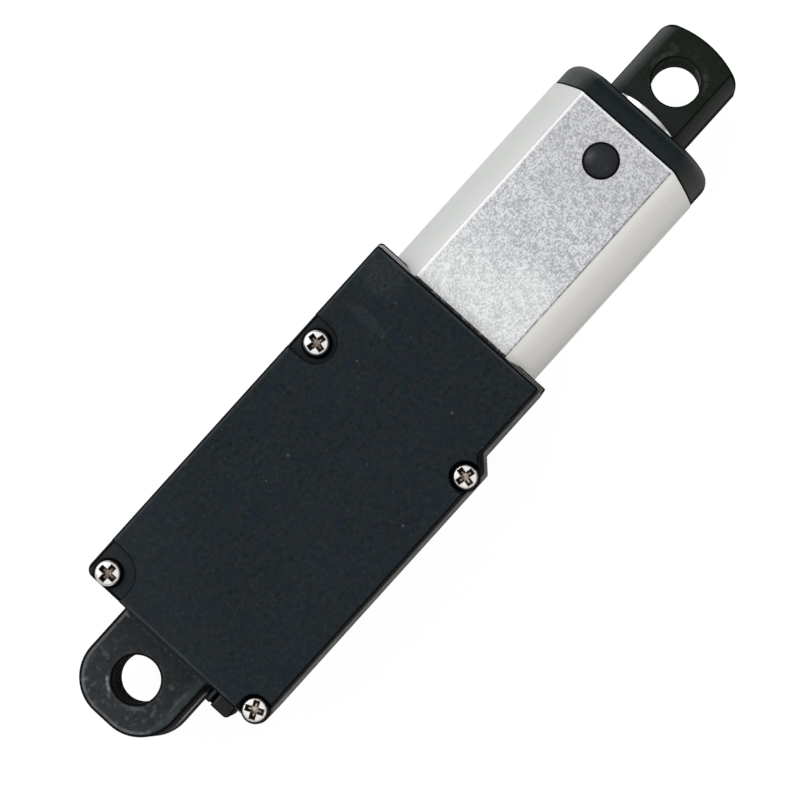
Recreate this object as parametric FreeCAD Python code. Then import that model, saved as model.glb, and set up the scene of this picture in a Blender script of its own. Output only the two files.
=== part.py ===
import FreeCAD, Part
import math
import os

V = FreeCAD.Vector
os.makedirs("parts", exist_ok=True)

# Small in-line electric linear actuator, shown retracted. Millimetres.
# Origin: middle of the rear pivot hole. +X: along the rod towards the eye end.
# +Z: along the pivot holes, towards the cover. -Y: the wider, lead side of the housing.

# ---------------------------------------------------------------- dimensions
HOLE_TO_HOLE = 65.0        # between pivot holes, retracted
STROKE = 10.0
PIVOT_R = 2.0              # both pivot holes
PIVOT_EASE = 0.12          # chamfer on the rims of the pivot holes

TONGUE_HALF_W = 4.57       # rear pivot tongue, at its upper face
TONGUE_DRAFT = 0.33        # the lower face is this much wider on each side
TONGUE_HALF_T = 2.9
TONGUE_END = -4.2
TONGUE_CORNER = 3.7

COVER_X0, COVER_X1 = 4.17, 39.10   # cover plate outline
COVER_Y1 = 8.60
COVER_Y0_REAR, COVER_Y0_FRONT = -9.75, -8.60
COVER_LEAN = 0.15          # the front wall leans out this much towards its foot
STEP_X0, STEP_X1 = 30.82, 31.97    # 45 degree step on the lead side
RIM, RIM_BEVEL = 0.30, 0.90        # how far the lower shell stands out past the cover, and the height of its bevel
RIM_FRONT, RIM_STEP = 0.12, 0.28   # more of it on the front wall and on the step
PARTING_Z = 5.2
TOP_Z, BOTTOM_Z = 7.5, -7.5
DRAFT_IN = 0.40            # lower shell, inset at the bottom
BOTTOM_ROUND = 0.60

CAV_X0, CAV_X1 = 5.2, 32.6
CAV_Y0, CAV_Y1 = -8.6, 7.6
FLOOR_Z = -6.2
COVER_UNDER_Z = 6.0

SCREWS = [                 # x, y, pocket radius, recess turn in degrees
    (5.20, 7.10, 2.28, -1.0),
    (30.00, 7.05, 1.67, -13.0),
    (5.10, -8.90, 1.25, 25.0),
    (30.05, -8.90, 1.25, -12.0),
]
SCREW_SEAT_Z = 6.15
SCREW_HEAD_R, SCREW_HEAD_H = 1.08, 0.85
SCREW_SHANK_R, SCREW_TIP_Z = 0.60, -1.0
BOSS_R = 1.45
SEAT_R = 1.18              # round seats under the two heads on the lead side

TUBE_R, TUBE_FLAT = 7.5, 5.75      # double-D outside: radius, half height over the flats
TUBE_WALL = 1.1
TUBE_X0, TUBE_X1 = 36.25, 59.15
SPIGOT_R = 7.0             # under the cap's skirt the tube's round sides are this thin
SLANT_Y0, SLANT_Y1 = 4.95, 7.62    # on its round sides the tube's end slants back
SLANT = 0.65               # by this much, from the one to the other

CAP_X1 = 61.27
CAP_R, CAP_FLAT = 7.42, 5.70
CAP_ROUND = 1.35
CAP_INSERT_X0 = 53.30
STUD_X, STUD_R = 55.99, 1.5

ROD_R, ROD_BORE_R = 3.15, 2.25
ROD_TAIL_R, ROD_SHOULDER = 2.85, 42.85     # thinner where it sits in the nut
ROD_X0 = 41.0
COLLAR_R = 3.90            # collar at the rod's front end
COLLAR_X0, COLLAR_X1 = 61.33, 61.74
SADDLE_R = 12.90           # its front is rounded across, and so is the eye's seat on it
EYE_SKIRT, EYE_X1 = 61.42, 69.07
EYE_R, EYE_FLAT = 4.04, 2.857
EYE_CORNER, EYE_DOME = 1.25, 8.6

NUT_X0, NUT_X1 = 37.0, 42.8
LEAD = 1.0
SCREW_MAJOR_R, SCREW_MINOR_R = 2.0, 1.45
THREAD_X0, THREAD_TURNS = 37.0, 15.5
THREAD_CLEAR = 0.10

MODULE, Z_PINION, Z_WHEEL = 0.2, 11, 30
SHIFT = 0.35
CENTRE = MODULE * (Z_PINION + Z_WHEEL) / 2.0      # 4.1
BACKLASH = 0.03                                    # taken off each tooth
ARBOR_R, GEAR_BORE_R = 0.40, 0.45
ARBOR_1 = (-CENTRE * math.cos(math.radians(30)), -CENTRE / 2)
ARBOR_2 = (-CENTRE * math.cos(math.radians(30)), CENTRE / 2)
LAYER_A, LAYER_B, LAYER_C = (24.4, 25.6), (26.0, 27.2), (27.6, 28.8)
PLATE_REAR, PLATE_FRONT = (23.2, 24.0), (29.4, 30.2)

MOTOR_X0, MOTOR_X1 = 9.4, 23.2
MOTOR_R, MOTOR_FLAT, MOTOR_WALL = 6.0, 5.0, 0.4
SHAFT_R = 0.5

BEARING = (33.2, 36.2)
BALL_R, BALL_PITCH_R, BALLS = 0.60, 2.5, 7


# ---------------------------------------------------------------- helpers
def box(x0, x1, y0, y1, z0, z1):
    return Part.makeBox(x1 - x0, y1 - y0, z1 - z0, V(x0, y0, z0))


def xcyl(r, x0, x1, y=0.0, z=0.0):
    return Part.makeCylinder(r, x1 - x0, V(x0, y, z), V(1, 0, 0))


def zcyl(r, z0, z1, x, y):
    return Part.makeCylinder(r, z1 - z0, V(x, y, z0), V(0, 0, 1))


def ring(ro, ri, x0, x1, y=0.0, z=0.0):
    return xcyl(ro, x0, x1, y, z).cut(xcyl(ri, x0 - 1, x1 + 1, y, z))


def double_d(r, h, x0, x1):
    return xcyl(r, x0, x1).common(box(x0 - 1, x1 + 1, -r - 1, r + 1, -h, h))


def join(first, *others):
    for o in others:
        first = first.fuse(o)
    return first.removeSplitter()


def rounded(shape, r, pick):
    """Fillet the edges that pick() accepts; the shape comes back as it was if that fails."""
    edges = [e for e in shape.Edges if pick(e)]
    if not edges:
        print("no edges to round")
        return shape
    try:
        out = shape.makeFillet(r, edges)
        if out.isValid() and out.Volume > 0:
            return out
    except Exception as err:
        print("fillet failed:", err)
    print("left sharp:", len(edges), "edges")
    return shape


def mid(e):
    return e.valueAt((e.FirstParameter + e.LastParameter) / 2)


def extrude_yz(points, x0, x1):
    wire = Part.makePolygon([V(x0, y, z) for y, z in points] + [V(x0, *points[0])])
    return Part.Face(wire).extrude(V(x1 - x0, 0, 0))


def extrude_xy(points, z0, z1):
    wire = Part.makePolygon([V(x, y, z0) for x, y in points] + [V(*points[0], z0)])
    return Part.Face(wire).extrude(V(0, 0, z1 - z0))


def save(name, shape):
    solids = shape.Solids
    out = solids[0] if len(solids) == 1 else Part.makeCompound(solids)
    bad = [s for s in solids if not s.isValid() or s.Volume <= 0]
    b = out.BoundBox
    print("%-20s %d solid(s) %9.3f mm3  X %.2f..%.2f  Y %.2f..%.2f  Z %.2f..%.2f %s" % (
        name, len(solids), sum(s.Volume for s in solids), b.XMin, b.XMax, b.YMin, b.YMax,
        b.ZMin, b.ZMax, "INVALID" if bad else ""))
    out.exportStep("parts/%s.step" % name)


# ---------------------------------------------------------------- housing outline
OUTLINE = [
    (COVER_X0, COVER_Y1), (COVER_X0, COVER_Y0_REAR), (STEP_X0, COVER_Y0_REAR),
    (STEP_X1, COVER_Y0_FRONT), (COVER_X1, COVER_Y0_FRONT), (COVER_X1, COVER_Y1),
]
CORNERS = [0.75, 1.05, 0.35, 0.35, 0.12, 0.35]


def outline(grow, z, step=0.0, front=0.0):
    """The housing's outline grown by a distance, at height z, with round corners."""
    n = len(OUTLINE)
    lines = []
    more = (0.0, 0.0, step, 0.0, front, 0.0)
    for i in range(n):
        (x0, y0), (x1, y1) = OUTLINE[i], OUTLINE[(i + 1) % n]
        length = math.hypot(x1 - x0, y1 - y0)
        nx, ny = (y1 - y0) / length, -(x1 - x0) / length     # outward, corners run anticlockwise
        lines.append((nx, ny, nx * x0 + ny * y0 + grow + more[i]))
    pts = []
    for i in range(n):
        a, b = lines[i - 1], lines[i]
        det = a[0] * b[1] - a[1] * b[0]
        pts.append(((a[2] * b[1] - b[2] * a[1]) / det, (a[0] * b[2] - b[0] * a[2]) / det))
    edges, ends = [], []
    for i in range(n):
        p = V(*pts[i], z)
        u = V(*pts[i - 1], z).sub(p)
        w = V(*pts[(i + 1) % n], z).sub(p)
        u.normalize()
        w.normalize()
        half = u.getAngle(w) / 2
        r = CORNERS[i]
        t = r / math.tan(half)
        s, e = p.add(u * t), p.add(w * t)
        bis = u.add(w)
        bis.normalize()
        c = p.add(bis * (r / math.sin(half)))
        ends.append((s, c.sub(bis * r), e))
    for i in range(n):
        s, m, e = ends[i]
        edges.append(Part.Arc(s, m, e).toShape())
        edges.append(Part.LineSegment(e, ends[(i + 1) % n][0]).toShape())
    return Part.Wire(edges)


def stacked(sections):
    return Part.makeLoft(sections, True, True)


# ---------------------------------------------------------------- lower shell with pivot tongue
shell = stacked([
    outline(0.04, PARTING_Z, RIM_STEP, COVER_LEAN), outline(RIM, PARTING_Z - RIM_BEVEL, RIM_STEP, RIM_FRONT),
    outline(RIM - DRAFT_IN + 0.02, BOTTOM_Z + BOTTOM_ROUND, RIM_STEP, RIM_FRONT),
    outline(RIM - DRAFT_IN - 0.16, BOTTOM_Z + 0.18, RIM_STEP, RIM_FRONT),
    outline(RIM - DRAFT_IN - BOTTOM_ROUND, BOTTOM_Z, RIM_STEP, RIM_FRONT),
])
outer_shell = shell.copy()
cavity = join(
    box(CAV_X0, 30.0, CAV_Y0, CAV_Y1, FLOOR_Z, TOP_Z),
    box(29.0, CAV_X1, -7.5, 7.5, FLOOR_Z, TOP_Z),
)
shell = shell.cut(cavity)
for sx, sy, _, _ in SCREWS:
    shell = shell.fuse(zcyl(BOSS_R, FLOOR_Z - 0.2, PARTING_Z, sx, sy).common(outer_shell))
# ribs under the motor
for rx in (10.2, 20.4):
    shell = shell.fuse(box(rx, rx + 1.0, -4.0, 4.0, FLOOR_Z - 0.1, -MOTOR_FLAT - 0.02))



def tongue_outline(z, inset):
    """Round-ended outline of the tongue at height z; its sides lean out towards the bottom."""
    w = TONGUE_HALF_W + TONGUE_DRAFT * (TONGUE_HALF_T - z) / (2 * TONGUE_HALF_T) - inset
    xe, r, d = TONGUE_END + inset, TONGUE_CORNER - inset, (1 - math.sqrt(0.5)) * (TONGUE_CORNER - inset)
    p = [V(5, w, z), V(xe + r, w, z), V(xe + d, w - d, z), V(xe, w - r, z),
         V(xe, r - w, z), V(xe + d, d - w, z), V(xe + r, -w, z), V(5, -w, z)]
    return Part.Wire([
        Part.LineSegment(p[0], p[1]).toShape(), Part.Arc(p[1], p[2], p[3]).toShape(),
        Part.LineSegment(p[3], p[4]).toShape(), Part.Arc(p[4], p[5], p[6]).toShape(),
        Part.LineSegment(p[6], p[7]).toShape(), Part.LineSegment(p[7], p[0]).toShape()])


T = TONGUE_HALF_T
tongue = stacked([tongue_outline(T, 0.20), tongue_outline(T - 0.06, 0.07), tongue_outline(T - 0.20, 0.0),
                  tongue_outline(0.20 - T, 0.0), tongue_outline(0.06 - T, 0.07), tongue_outline(-T, 0.20)])
shell = shell.fuse(tongue)
# rib between the tongue and the lead outlet
shell = shell.fuse(join(box(2.54, 5.0, -5.52, -5.08, -2.4, 2.1), box(2.56, 5.0, -5.74, -5.3, -2.4, 1.5),
                        box(2.54, 5.0, -5.2, -4.6, -2.6, -1.4)))
pivot = zcyl(PIVOT_R, -5, 5, 0, 0)
shell = shell.cut(pivot)
for s in (1, -1):
    shell = shell.cut(Part.makeCone(PIVOT_R, PIVOT_R + PIVOT_EASE, PIVOT_EASE, V(0, 0, s * (T - PIVOT_EASE)), V(0, 0, s)))

for sx, sy, _, _ in SCREWS:
    shell = shell.cut(zcyl(SCREW_SHANK_R + 0.02, SCREW_TIP_Z - 0.3, TOP_Z, sx, sy))
# bearing bore, shoulder, and the slot the board passes through
shell = shell.cut(xcyl(3.52, BEARING[0], TUBE_X0))
shell = shell.cut(xcyl(2.8, CAV_X1 - 0.5, BEARING[0] + 0.1))
shell = shell.cut(box(CAV_X1 - 0.5, TUBE_X0, -3.5, 3.5, -4.75, -3.0))
# tube seat and its locking peg
tube_seat = double_d(TUBE_R + 0.03, TUBE_FLAT + 0.03, TUBE_X0, 45)
shell = shell.cut(tube_seat)
shell = shell.fuse(zcyl(1.0, -TUBE_FLAT - 0.3, -TUBE_FLAT + TUBE_WALL - 0.08, 37.9, 0))
# opening for the lead outlet
outlet_hole = box(3.0, CAV_X0 + 0.1, -7.27, -5.88, -1.9, 2.0)
shell = shell.cut(outlet_hole)
save("gear_housing", shell.removeSplitter())

# ---------------------------------------------------------------- cover
cover = stacked([outline(0.0, PARTING_Z, 0.0, COVER_LEAN), outline(-0.02, TOP_Z - 0.11, 0.0, 0.03),
                 outline(-0.05, TOP_Z - 0.03), outline(-0.12, TOP_Z)])
under = box(CAV_X0 + 0.2, CAV_X1 - 0.2, -8.3, 7.3, PARTING_Z - 1, COVER_UNDER_Z)
under = under.cut(box(29.0, 33.0, -8.4, -7.2, 0, 7))
for sx, sy, sr, _ in SCREWS:
    under = under.cut(zcyl(sr + 0.5, 0, TOP_Z, sx, sy))
cover = cover.cut(under)
for rx in (10.2, 20.4):
    cover = cover.fuse(box(rx, rx + 1.0, -4.0, 4.0, MOTOR_FLAT + 0.02, COVER_UNDER_Z + 0.1))
# locating lips inside the lower shell
cover = cover.fuse(box(9.0, 26.0, CAV_Y1 - 0.75, CAV_Y1 - 0.05, PARTING_Z - 0.9, COVER_UNDER_Z + 0.1))
cover = cover.fuse(box(9.0, 26.0, CAV_Y0 + 0.05, CAV_Y0 + 0.75, PARTING_Z - 0.9, COVER_UNDER_Z + 0.1))
# screw pockets: two open ones on the plain side, two tight ones on the lead side
(ax, ay, ar, _), (bx, by, br, _), (cx, cy, cr, _), (dx, dy, dr, _) = SCREWS
P0, P1 = SCREW_SEAT_Z, TOP_Z + 1
pockets = [
    join(zcyl(ar, P0, P1, ax, ay), box(0, ax, ay - ar, 12, P0, P1), box(0, ax + ar, ay, 12, P0, P1)),
    join(zcyl(br, P0, P1, bx, by), box(bx - br, bx + br, by, 12, P0, P1)),
    join(zcyl(cr, P0, P1, cx, cy), box(0, cx, cy - 3, cy + cr, P0, P1), box(0, cx + cr, cy - 3, cy, P0, P1)),
    join(zcyl(dr, P0, P1, dx, dy), box(dx - dr, dx + dr, dy - 3, dy, P0, P1)),
]
for p in pockets:
    cover = cover.cut(p)
for sx, sy in ((cx, cy), (dx, dy)):
    cover = cover.fuse(zcyl(SEAT_R, PARTING_Z, SCREW_SEAT_Z, sx, sy))
# each pocket's upper edge is eased
E1, E2 = 0.10, 0.08


def flare(x, y, r, e):
    return Part.makeCone(r, r + e + 0.02, e + 0.02, V(x, y, TOP_Z - e), V(0, 0, 1))


def wedge_along_y(x_in, x_edge, e, y0, y1):
    d = e if x_edge > x_in else -e
    w = Part.makePolygon([V(x_in, y0, TOP_Z - e), V(x_edge, y0, TOP_Z - e), V(x_edge + d, y0, TOP_Z),
                          V(x_edge + d, y0, TOP_Z + 0.1), V(x_in, y0, TOP_Z + 0.1), V(x_in, y0, TOP_Z - e)])
    return Part.Face(w).extrude(V(0, y1 - y0, 0))


def wedge_along_x(y_in, y_edge, e, x0, x1):
    d = e if y_edge > y_in else -e
    w = Part.makePolygon([V(x0, y_in, TOP_Z - e), V(x0, y_edge, TOP_Z - e), V(x0, y_edge + d, TOP_Z),
                          V(x0, y_edge + d, TOP_Z + 0.1), V(x0, y_in, TOP_Z + 0.1), V(x0, y_in, TOP_Z - e)])
    return Part.Face(w).extrude(V(x1 - x0, 0, 0))


for easing in (
    flare(ax, ay, ar, E1), wedge_along_y(ax, ax + ar, E1, ay, 12), wedge_along_x(ay, ay - ar, E1, 0, ax),
    flare(bx, by, br, E1), wedge_along_y(bx, bx + br, E1, by, 12), wedge_along_y(bx, bx - br, E1, by, 12),
    flare(cx, cy, cr, E2), wedge_along_y(cx, cx + cr, E2, cy - 3, cy), wedge_along_x(cy, cy + cr, E2, 0, cx),
    flare(dx, dy, dr, E2), wedge_along_y(dx, dx + dr, E2, dy - 3, dy), wedge_along_y(dx, dx - dr, E2, dy - 3, dy),
):
    cover = cover.cut(easing)
for sx, sy, _, _ in SCREWS:
    cover = cover.cut(zcyl(SCREW_SHANK_R + 0.1, 0, TOP_Z, sx, sy))
cover = cover.cut(tube_seat)
cover = cover.fuse(zcyl(1.0, TUBE_FLAT - TUBE_WALL + 0.08, TUBE_FLAT + 0.3, 37.9, 0))
cover = cover.removeSplitter()
save("housing_cover", cover)


# ---------------------------------------------------------------- cover screws
def cover_screw(x, y, turn):
    z0, h, r = SCREW_SEAT_Z, SCREW_HEAD_H, SCREW_HEAD_R
    profile = Part.Wire([
        Part.LineSegment(V(0, 0, SCREW_TIP_Z), V(0, 0, z0 + h)).toShape(),
        Part.Arc(V(0, 0, z0 + h), V(0.40, 0, z0 + h - 0.012), V(0.78, 0, z0 + h - 0.05)).toShape(),
        Part.Arc(V(0.78, 0, z0 + h - 0.05), V(1.0, 0, z0 + h - 0.16), V(r, 0, z0 + h - 0.38)).toShape(),
        Part.LineSegment(V(r, 0, z0 + h - 0.38), V(r, 0, z0 + 0.08)).toShape(),
        Part.LineSegment(V(r, 0, z0 + 0.08), V(r - 0.08, 0, z0)).toShape(),
        Part.LineSegment(V(r - 0.08, 0, z0), V(SCREW_SHANK_R, 0, z0)).toShape(),
        Part.LineSegment(V(SCREW_SHANK_R, 0, z0), V(SCREW_SHANK_R, 0, SCREW_TIP_Z + 0.5)).toShape(),
        Part.LineSegment(V(SCREW_SHANK_R, 0, SCREW_TIP_Z + 0.5), V(0.15, 0, SCREW_TIP_Z)).toShape(),
        Part.LineSegment(V(0.15, 0, SCREW_TIP_Z), V(0, 0, SCREW_TIP_Z)).toShape(),
    ])
    s = Part.Face(profile).revolve(V(0, 0, 0), V(0, 0, 1), 360)
    s = Part.Solid(s) if s.ShapeType == "Shell" else s
    top, deep = z0 + h + 0.1, z0 + 0.30
    blade = extrude_yz([(-0.78, top), (0.78, top), (0.50, deep), (-0.50, deep)], -0.20, 0.20)
    other = blade.copy()
    other.rotate(V(0, 0, 0), V(0, 0, 1), 90)
    core = Part.makeCone(0.20, 0.30, top - deep, V(0, 0, deep), V(0, 0, 1))
    s = s.cut(join(blade, other, core))
    s.rotate(V(0, 0, 0), V(0, 0, 1), turn)
    s.translate(V(x, y, 0))
    return s


save("cover_screws", Part.makeCompound([cover_screw(x, y, t) for x, y, _, t in SCREWS]))

# ---------------------------------------------------------------- lead outlet
grommet = box(2.50, 3.80, -7.55, -5.78, -2.3, 2.4)
grommet = rounded(grommet, 0.40, lambda e: abs(mid(e).x - 2.50) < 1e-6 and mid(e).y < -7.5)
grommet = join(grommet, box(3.7, 5.4, -7.25, -5.90, -1.88, 1.98), box(5.30, 5.95, -7.40, -5.70, -2.3, 2.4))
for gz in (-0.85, 0.95):
    grommet = grommet.cut(xcyl(0.50, 1, 7, -6.575, gz))
# the lower shell's drafted rear wall
grommet = grommet.cut(outer_shell.cut(cavity).cut(outlet_hole))
grommet = grommet.Solids[0] if len(grommet.Solids) == 1 else max(grommet.Solids, key=lambda s: s.Volume)
save("cable_grommet", grommet)

# ---------------------------------------------------------------- tube, cap, studs, seal
tube = double_d(TUBE_R, TUBE_FLAT, TUBE_X0, TUBE_X1).cut(
    double_d(TUBE_R - TUBE_WALL, TUBE_FLAT - TUBE_WALL, TUBE_X0 - 1, TUBE_X1 + 1))
tube = rounded(tube, 0.12, lambda e: e.Curve.TypeId == "Part::GeomLine"
               and abs(abs(mid(e).z) - TUBE_FLAT) < 1e-6 and abs(mid(e).y) > 4)
tube = tube.cut(zcyl(STUD_R + 0.03, -9, 9, STUD_X, 0)).cut(zcyl(1.06, -9, 9, 37.9, 0))


def slant(side, gap):
    """Wedge in front of the slanting end of one round side of the tube."""
    x0, x1 = TUBE_X1 + gap, TUBE_X1 + gap - SLANT
    w = extrude_xy([(x0, side * SLANT_Y0), (x1, side * SLANT_Y1), (TUBE_X1 + 0.3, side * SLANT_Y1), (TUBE_X1 + 0.3, side * SLANT_Y0)], -9, 9)
    return w.cut(xcyl(SPIGOT_R + gap, 50, 65))


for side in (1, -1):
    tube = tube.cut(slant(side, 0.0))
save("outer_tube", tube)

cap_x0, q = TUBE_X1 + 0.02, CAP_ROUND * (1 - math.sqrt(0.5))
cap_profile = Part.Wire([
    Part.LineSegment(V(cap_x0, 0, 0), V(cap_x0, CAP_R, 0)).toShape(),
    Part.LineSegment(V(cap_x0, CAP_R, 0), V(CAP_X1 - CAP_ROUND, CAP_R, 0)).toShape(),
    Part.Arc(V(CAP_X1 - CAP_ROUND, CAP_R, 0), V(CAP_X1 - q, CAP_R - q, 0), V(CAP_X1, CAP_R - CAP_ROUND, 0)).toShape(),
    Part.LineSegment(V(CAP_X1, CAP_R - CAP_ROUND, 0), V(CAP_X1, 0, 0)).toShape(),
    Part.LineSegment(V(CAP_X1, 0, 0), V(cap_x0, 0, 0)).toShape(),
])
cap = Part.Face(cap_profile).revolve(V(0, 0, 0), V(1, 0, 0), 360)
cap = Part.Solid(cap) if cap.ShapeType == "Shell" else cap
x, f = CAP_X1 - CAP_ROUND, CAP_FLAT - CAP_ROUND
cap_side = Part.Wire([
    Part.LineSegment(V(50, -9, CAP_FLAT), V(x, -9, CAP_FLAT)).toShape(),
    Part.Arc(V(x, -9, CAP_FLAT), V(CAP_X1 - q, -9, CAP_FLAT - q), V(CAP_X1, -9, f)).toShape(),
    Part.LineSegment(V(CAP_X1, -9, f), V(CAP_X1, -9, -f)).toShape(),
    Part.Arc(V(CAP_X1, -9, -f), V(CAP_X1 - q, -9, q - CAP_FLAT), V(x, -9, -CAP_FLAT)).toShape(),
    Part.LineSegment(V(x, -9, -CAP_FLAT), V(50, -9, -CAP_FLAT)).toShape(),
    Part.LineSegment(V(50, -9, -CAP_FLAT), V(50, -9, CAP_FLAT)).toShape(),
])
cap = cap.common(Part.Face(cap_side).extrude(V(0, 18, 0)))
for side in (1, -1):
    cap = cap.fuse(slant(side, 0.02).common(double_d(CAP_R, CAP_FLAT, 50, 65)))
cap = join(cap, double_d(TUBE_R - TUBE_WALL - 0.05, TUBE_FLAT - TUBE_WALL - 0.05, CAP_INSERT_X0, TUBE_X1 + 0.1))
cap = cap.cut(xcyl(ROD_R + 0.07, 50, 65))
cap = cap.cut(xcyl(4.12, 58.1, 59.3))                      # seal groove
cap = cap.cut(zcyl(1.22, -9, -3.7, STUD_X, 0)).cut(zcyl(1.22, 3.7, 9, STUD_X, 0))
cap = cap.cut(Part.makeCone(ROD_R + 0.07, ROD_R + 0.37, 0.3, V(CAP_X1 - 0.3, 0, 0), V(1, 0, 0)))
save("front_cap", cap)


def stud(sign):
    dome = Part.makeSphere(2.6, V(0, 0, TUBE_FLAT + 0.48 - 2.6))
    s = zcyl(STUD_R, TUBE_FLAT - TUBE_WALL - 0.02, TUBE_FLAT + 0.6, 0, 0).common(dome)
    s = join(s, zcyl(1.2, 3.75, TUBE_FLAT - 0.3, 0, 0))
    if sign < 0:
        s.rotate(V(0, 0, 0), V(1, 0, 0), 180)
    s.translate(V(STUD_X, 0, 0))
    return s


save("cap_lock_studs", Part.makeCompound([stud(1), stud(-1)]))
save("rod_seal", Part.makeTorus(3.66, 0.44, V(58.7, 0, 0), V(1, 0, 0)))

# ---------------------------------------------------------------- push rod, eye end
rod = Part.Face(Part.makePolygon([V(x, r, 0) for x, r in (
    (ROD_X0, ROD_BORE_R), (ROD_X0, ROD_TAIL_R), (ROD_SHOULDER, ROD_TAIL_R), (ROD_SHOULDER, ROD_R),
    (COLLAR_X0 + 0.04, ROD_R), (COLLAR_X0 + 0.04, ROD_BORE_R), (ROD_X0, ROD_BORE_R))]))
rod = rod.revolve(V(0, 0, 0), V(1, 0, 0), 360)
rod = Part.Solid(rod) if rod.ShapeType == "Shell" else rod
saddle_x = COLLAR_X1 - SADDLE_R
rod = join(rod, ring(COLLAR_R, ROD_BORE_R, COLLAR_X0, EYE_SKIRT - 0.03),
           ring(COLLAR_R, ROD_BORE_R, COLLAR_X0, COLLAR_X1 + 0.2).common(zcyl(SADDLE_R, -6, 6, saddle_x, 0)))
save("push_rod", rod)

# turned blank with a hollow rear seat
eye = Part.Face(Part.makePolygon([V(x, r, 0) for x, r in (
    (EYE_SKIRT, 0), (EYE_SKIRT, EYE_R - 0.03), (EYE_SKIRT + 0.03, EYE_R), (EYE_X1 + 1, EYE_R), (EYE_X1 + 1, 0),
    (EYE_SKIRT, 0))]))
eye = eye.revolve(V(0, 0, 0), V(1, 0, 0), 360)
eye = Part.Solid(eye) if eye.ShapeType == "Shell" else eye
eye = eye.cut(zcyl(SADDLE_R + 0.02, -6, 6, saddle_x, 0))
# rounded end, cut square through: corner arcs tangent to the sides and to the domed end
half, tip = EYE_R + 0.02, EYE_X1
y_side, c_dome = half - EYE_CORNER, tip - EYE_DOME
cx_corner = c_dome + math.sqrt((EYE_DOME - EYE_CORNER) ** 2 - y_side ** 2)
ang = math.atan2(y_side, cx_corner - c_dome)
tx, ty = c_dome + EYE_DOME * math.cos(ang), EYE_DOME * math.sin(ang)
mid_ang = (ang + math.pi / 2) / 2
mx, my = cx_corner + EYE_CORNER * math.cos(mid_ang), y_side + EYE_CORNER * math.sin(mid_ang)


def eye_outline(z, inset):
    """The eye's outline at height z, drawn in by a distance at the rounded end."""
    o = -inset
    return Part.Wire([
        Part.LineSegment(V(60, -half, z), V(cx_corner + o, -half, z)).toShape(),
        Part.Arc(V(cx_corner + o, -half, z), V(mx + o, -my, z), V(tx + o, -ty, z)).toShape(),
        Part.Arc(V(tx + o, -ty, z), V(tip + o, 0, z), V(tx + o, ty, z)).toShape(),
        Part.Arc(V(tx + o, ty, z), V(mx + o, my, z), V(cx_corner + o, half, z)).toShape(),
        Part.LineSegment(V(cx_corner + o, half, z), V(60, half, z)).toShape(),
        Part.LineSegment(V(60, half, z), V(60, -half, z)).toShape()])


F = EYE_FLAT
eye = eye.common(stacked([eye_outline(F, 0.22), eye_outline(F - 0.06, 0.08), eye_outline(F - 0.22, 0.0),
                          eye_outline(0.22 - F, 0.0), eye_outline(0.06 - F, 0.08), eye_outline(-F, 0.22)]))
eye = eye.cut(zcyl(PIVOT_R, -6, 6, HOLE_TO_HOLE, 0))
for s in (1, -1):
    cone = Part.makeCone(PIVOT_R, PIVOT_R + PIVOT_EASE, PIVOT_EASE, V(HOLE_TO_HOLE, 0, s * (EYE_FLAT - PIVOT_EASE)), V(0, 0, s))
    eye = eye.cut(cone)
eye = join(eye, xcyl(ROD_BORE_R - 0.02, 55.8, COLLAR_X1 + 0.3))
save("rod_end", eye)

# ---------------------------------------------------------------- lead screw and nut
def ridge(x_start, turns, r_in, r_out, w_in, w_out):
    """A right-hand helical ridge about X with a trapezoid section, its axis on X."""
    h = Part.makeLongHelix(LEAD, LEAD * turns, r_in)
    section = Part.makePolygon([
        V(r_in, 0, -w_in / 2), V(r_out, 0, -w_out / 2), V(r_out, 0, w_out / 2), V(r_in, 0, w_in / 2),
        V(r_in, 0, -w_in / 2)])
    s = Part.Wire(h.Edges).makePipeShell([section], True, True)
    s.rotate(V(0, 0, 0), V(0, 1, 0), 90)       # helix axis from Z to X
    s.translate(V(x_start, 0, 0))
    return s


screw = join(
    xcyl(0.80, 27.3, 30.6), xcyl(1.48, 30.4, BEARING[1] + 0.1), xcyl(2.3, BEARING[1], 36.8),
    xcyl(SCREW_MINOR_R, 36.7, 52.9))
thread = ridge(THREAD_X0, THREAD_TURNS, SCREW_MINOR_R - 0.08, SCREW_MAJOR_R, 0.66, 0.28)
screw = screw.fuse(thread)
save("lead_screw", screw)

nut = double_d(TUBE_R - TUBE_WALL - 0.15, TUBE_FLAT - TUBE_WALL - 0.15, NUT_X0, NUT_X1)
nut = nut.cut(box(30, 60, -8, 8, -8, -3.55))
nut = nut.cut(xcyl(SCREW_MINOR_R + THREAD_CLEAR, 30, 60))
nut = nut.cut(xcyl(ROD_TAIL_R + 0.02, ROD_X0 - 0.02, 60))
nut = nut.cut(ridge(THREAD_X0 - 1, 5.6, SCREW_MINOR_R - 0.08, SCREW_MAJOR_R + THREAD_CLEAR, 0.66 + 0.2, 0.28 + 0.2))
save("travelling_nut", nut)

# sliding contact under the nut
wiper = box(38.0, 40.4, -2.2, 2.2, -3.70, -3.55)
for wy in (-1.2, 1.2):
    wiper = wiper.fuse(box(40.3, 41.9, wy - 0.35, wy + 0.35, -3.70, -3.60))
    wiper = wiper.fuse(box(41.5, 41.9, wy - 0.35, wy + 0.35, -3.80, -3.60))
save("wiper_contact", wiper.removeSplitter())

# screw retaining clip behind the bearing
clip = ring(2.25, 1.50, 32.72, 33.15).cut(box(32, 34, -0.6, 0.6, 0, 4))
save("screw_clip", clip)

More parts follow.
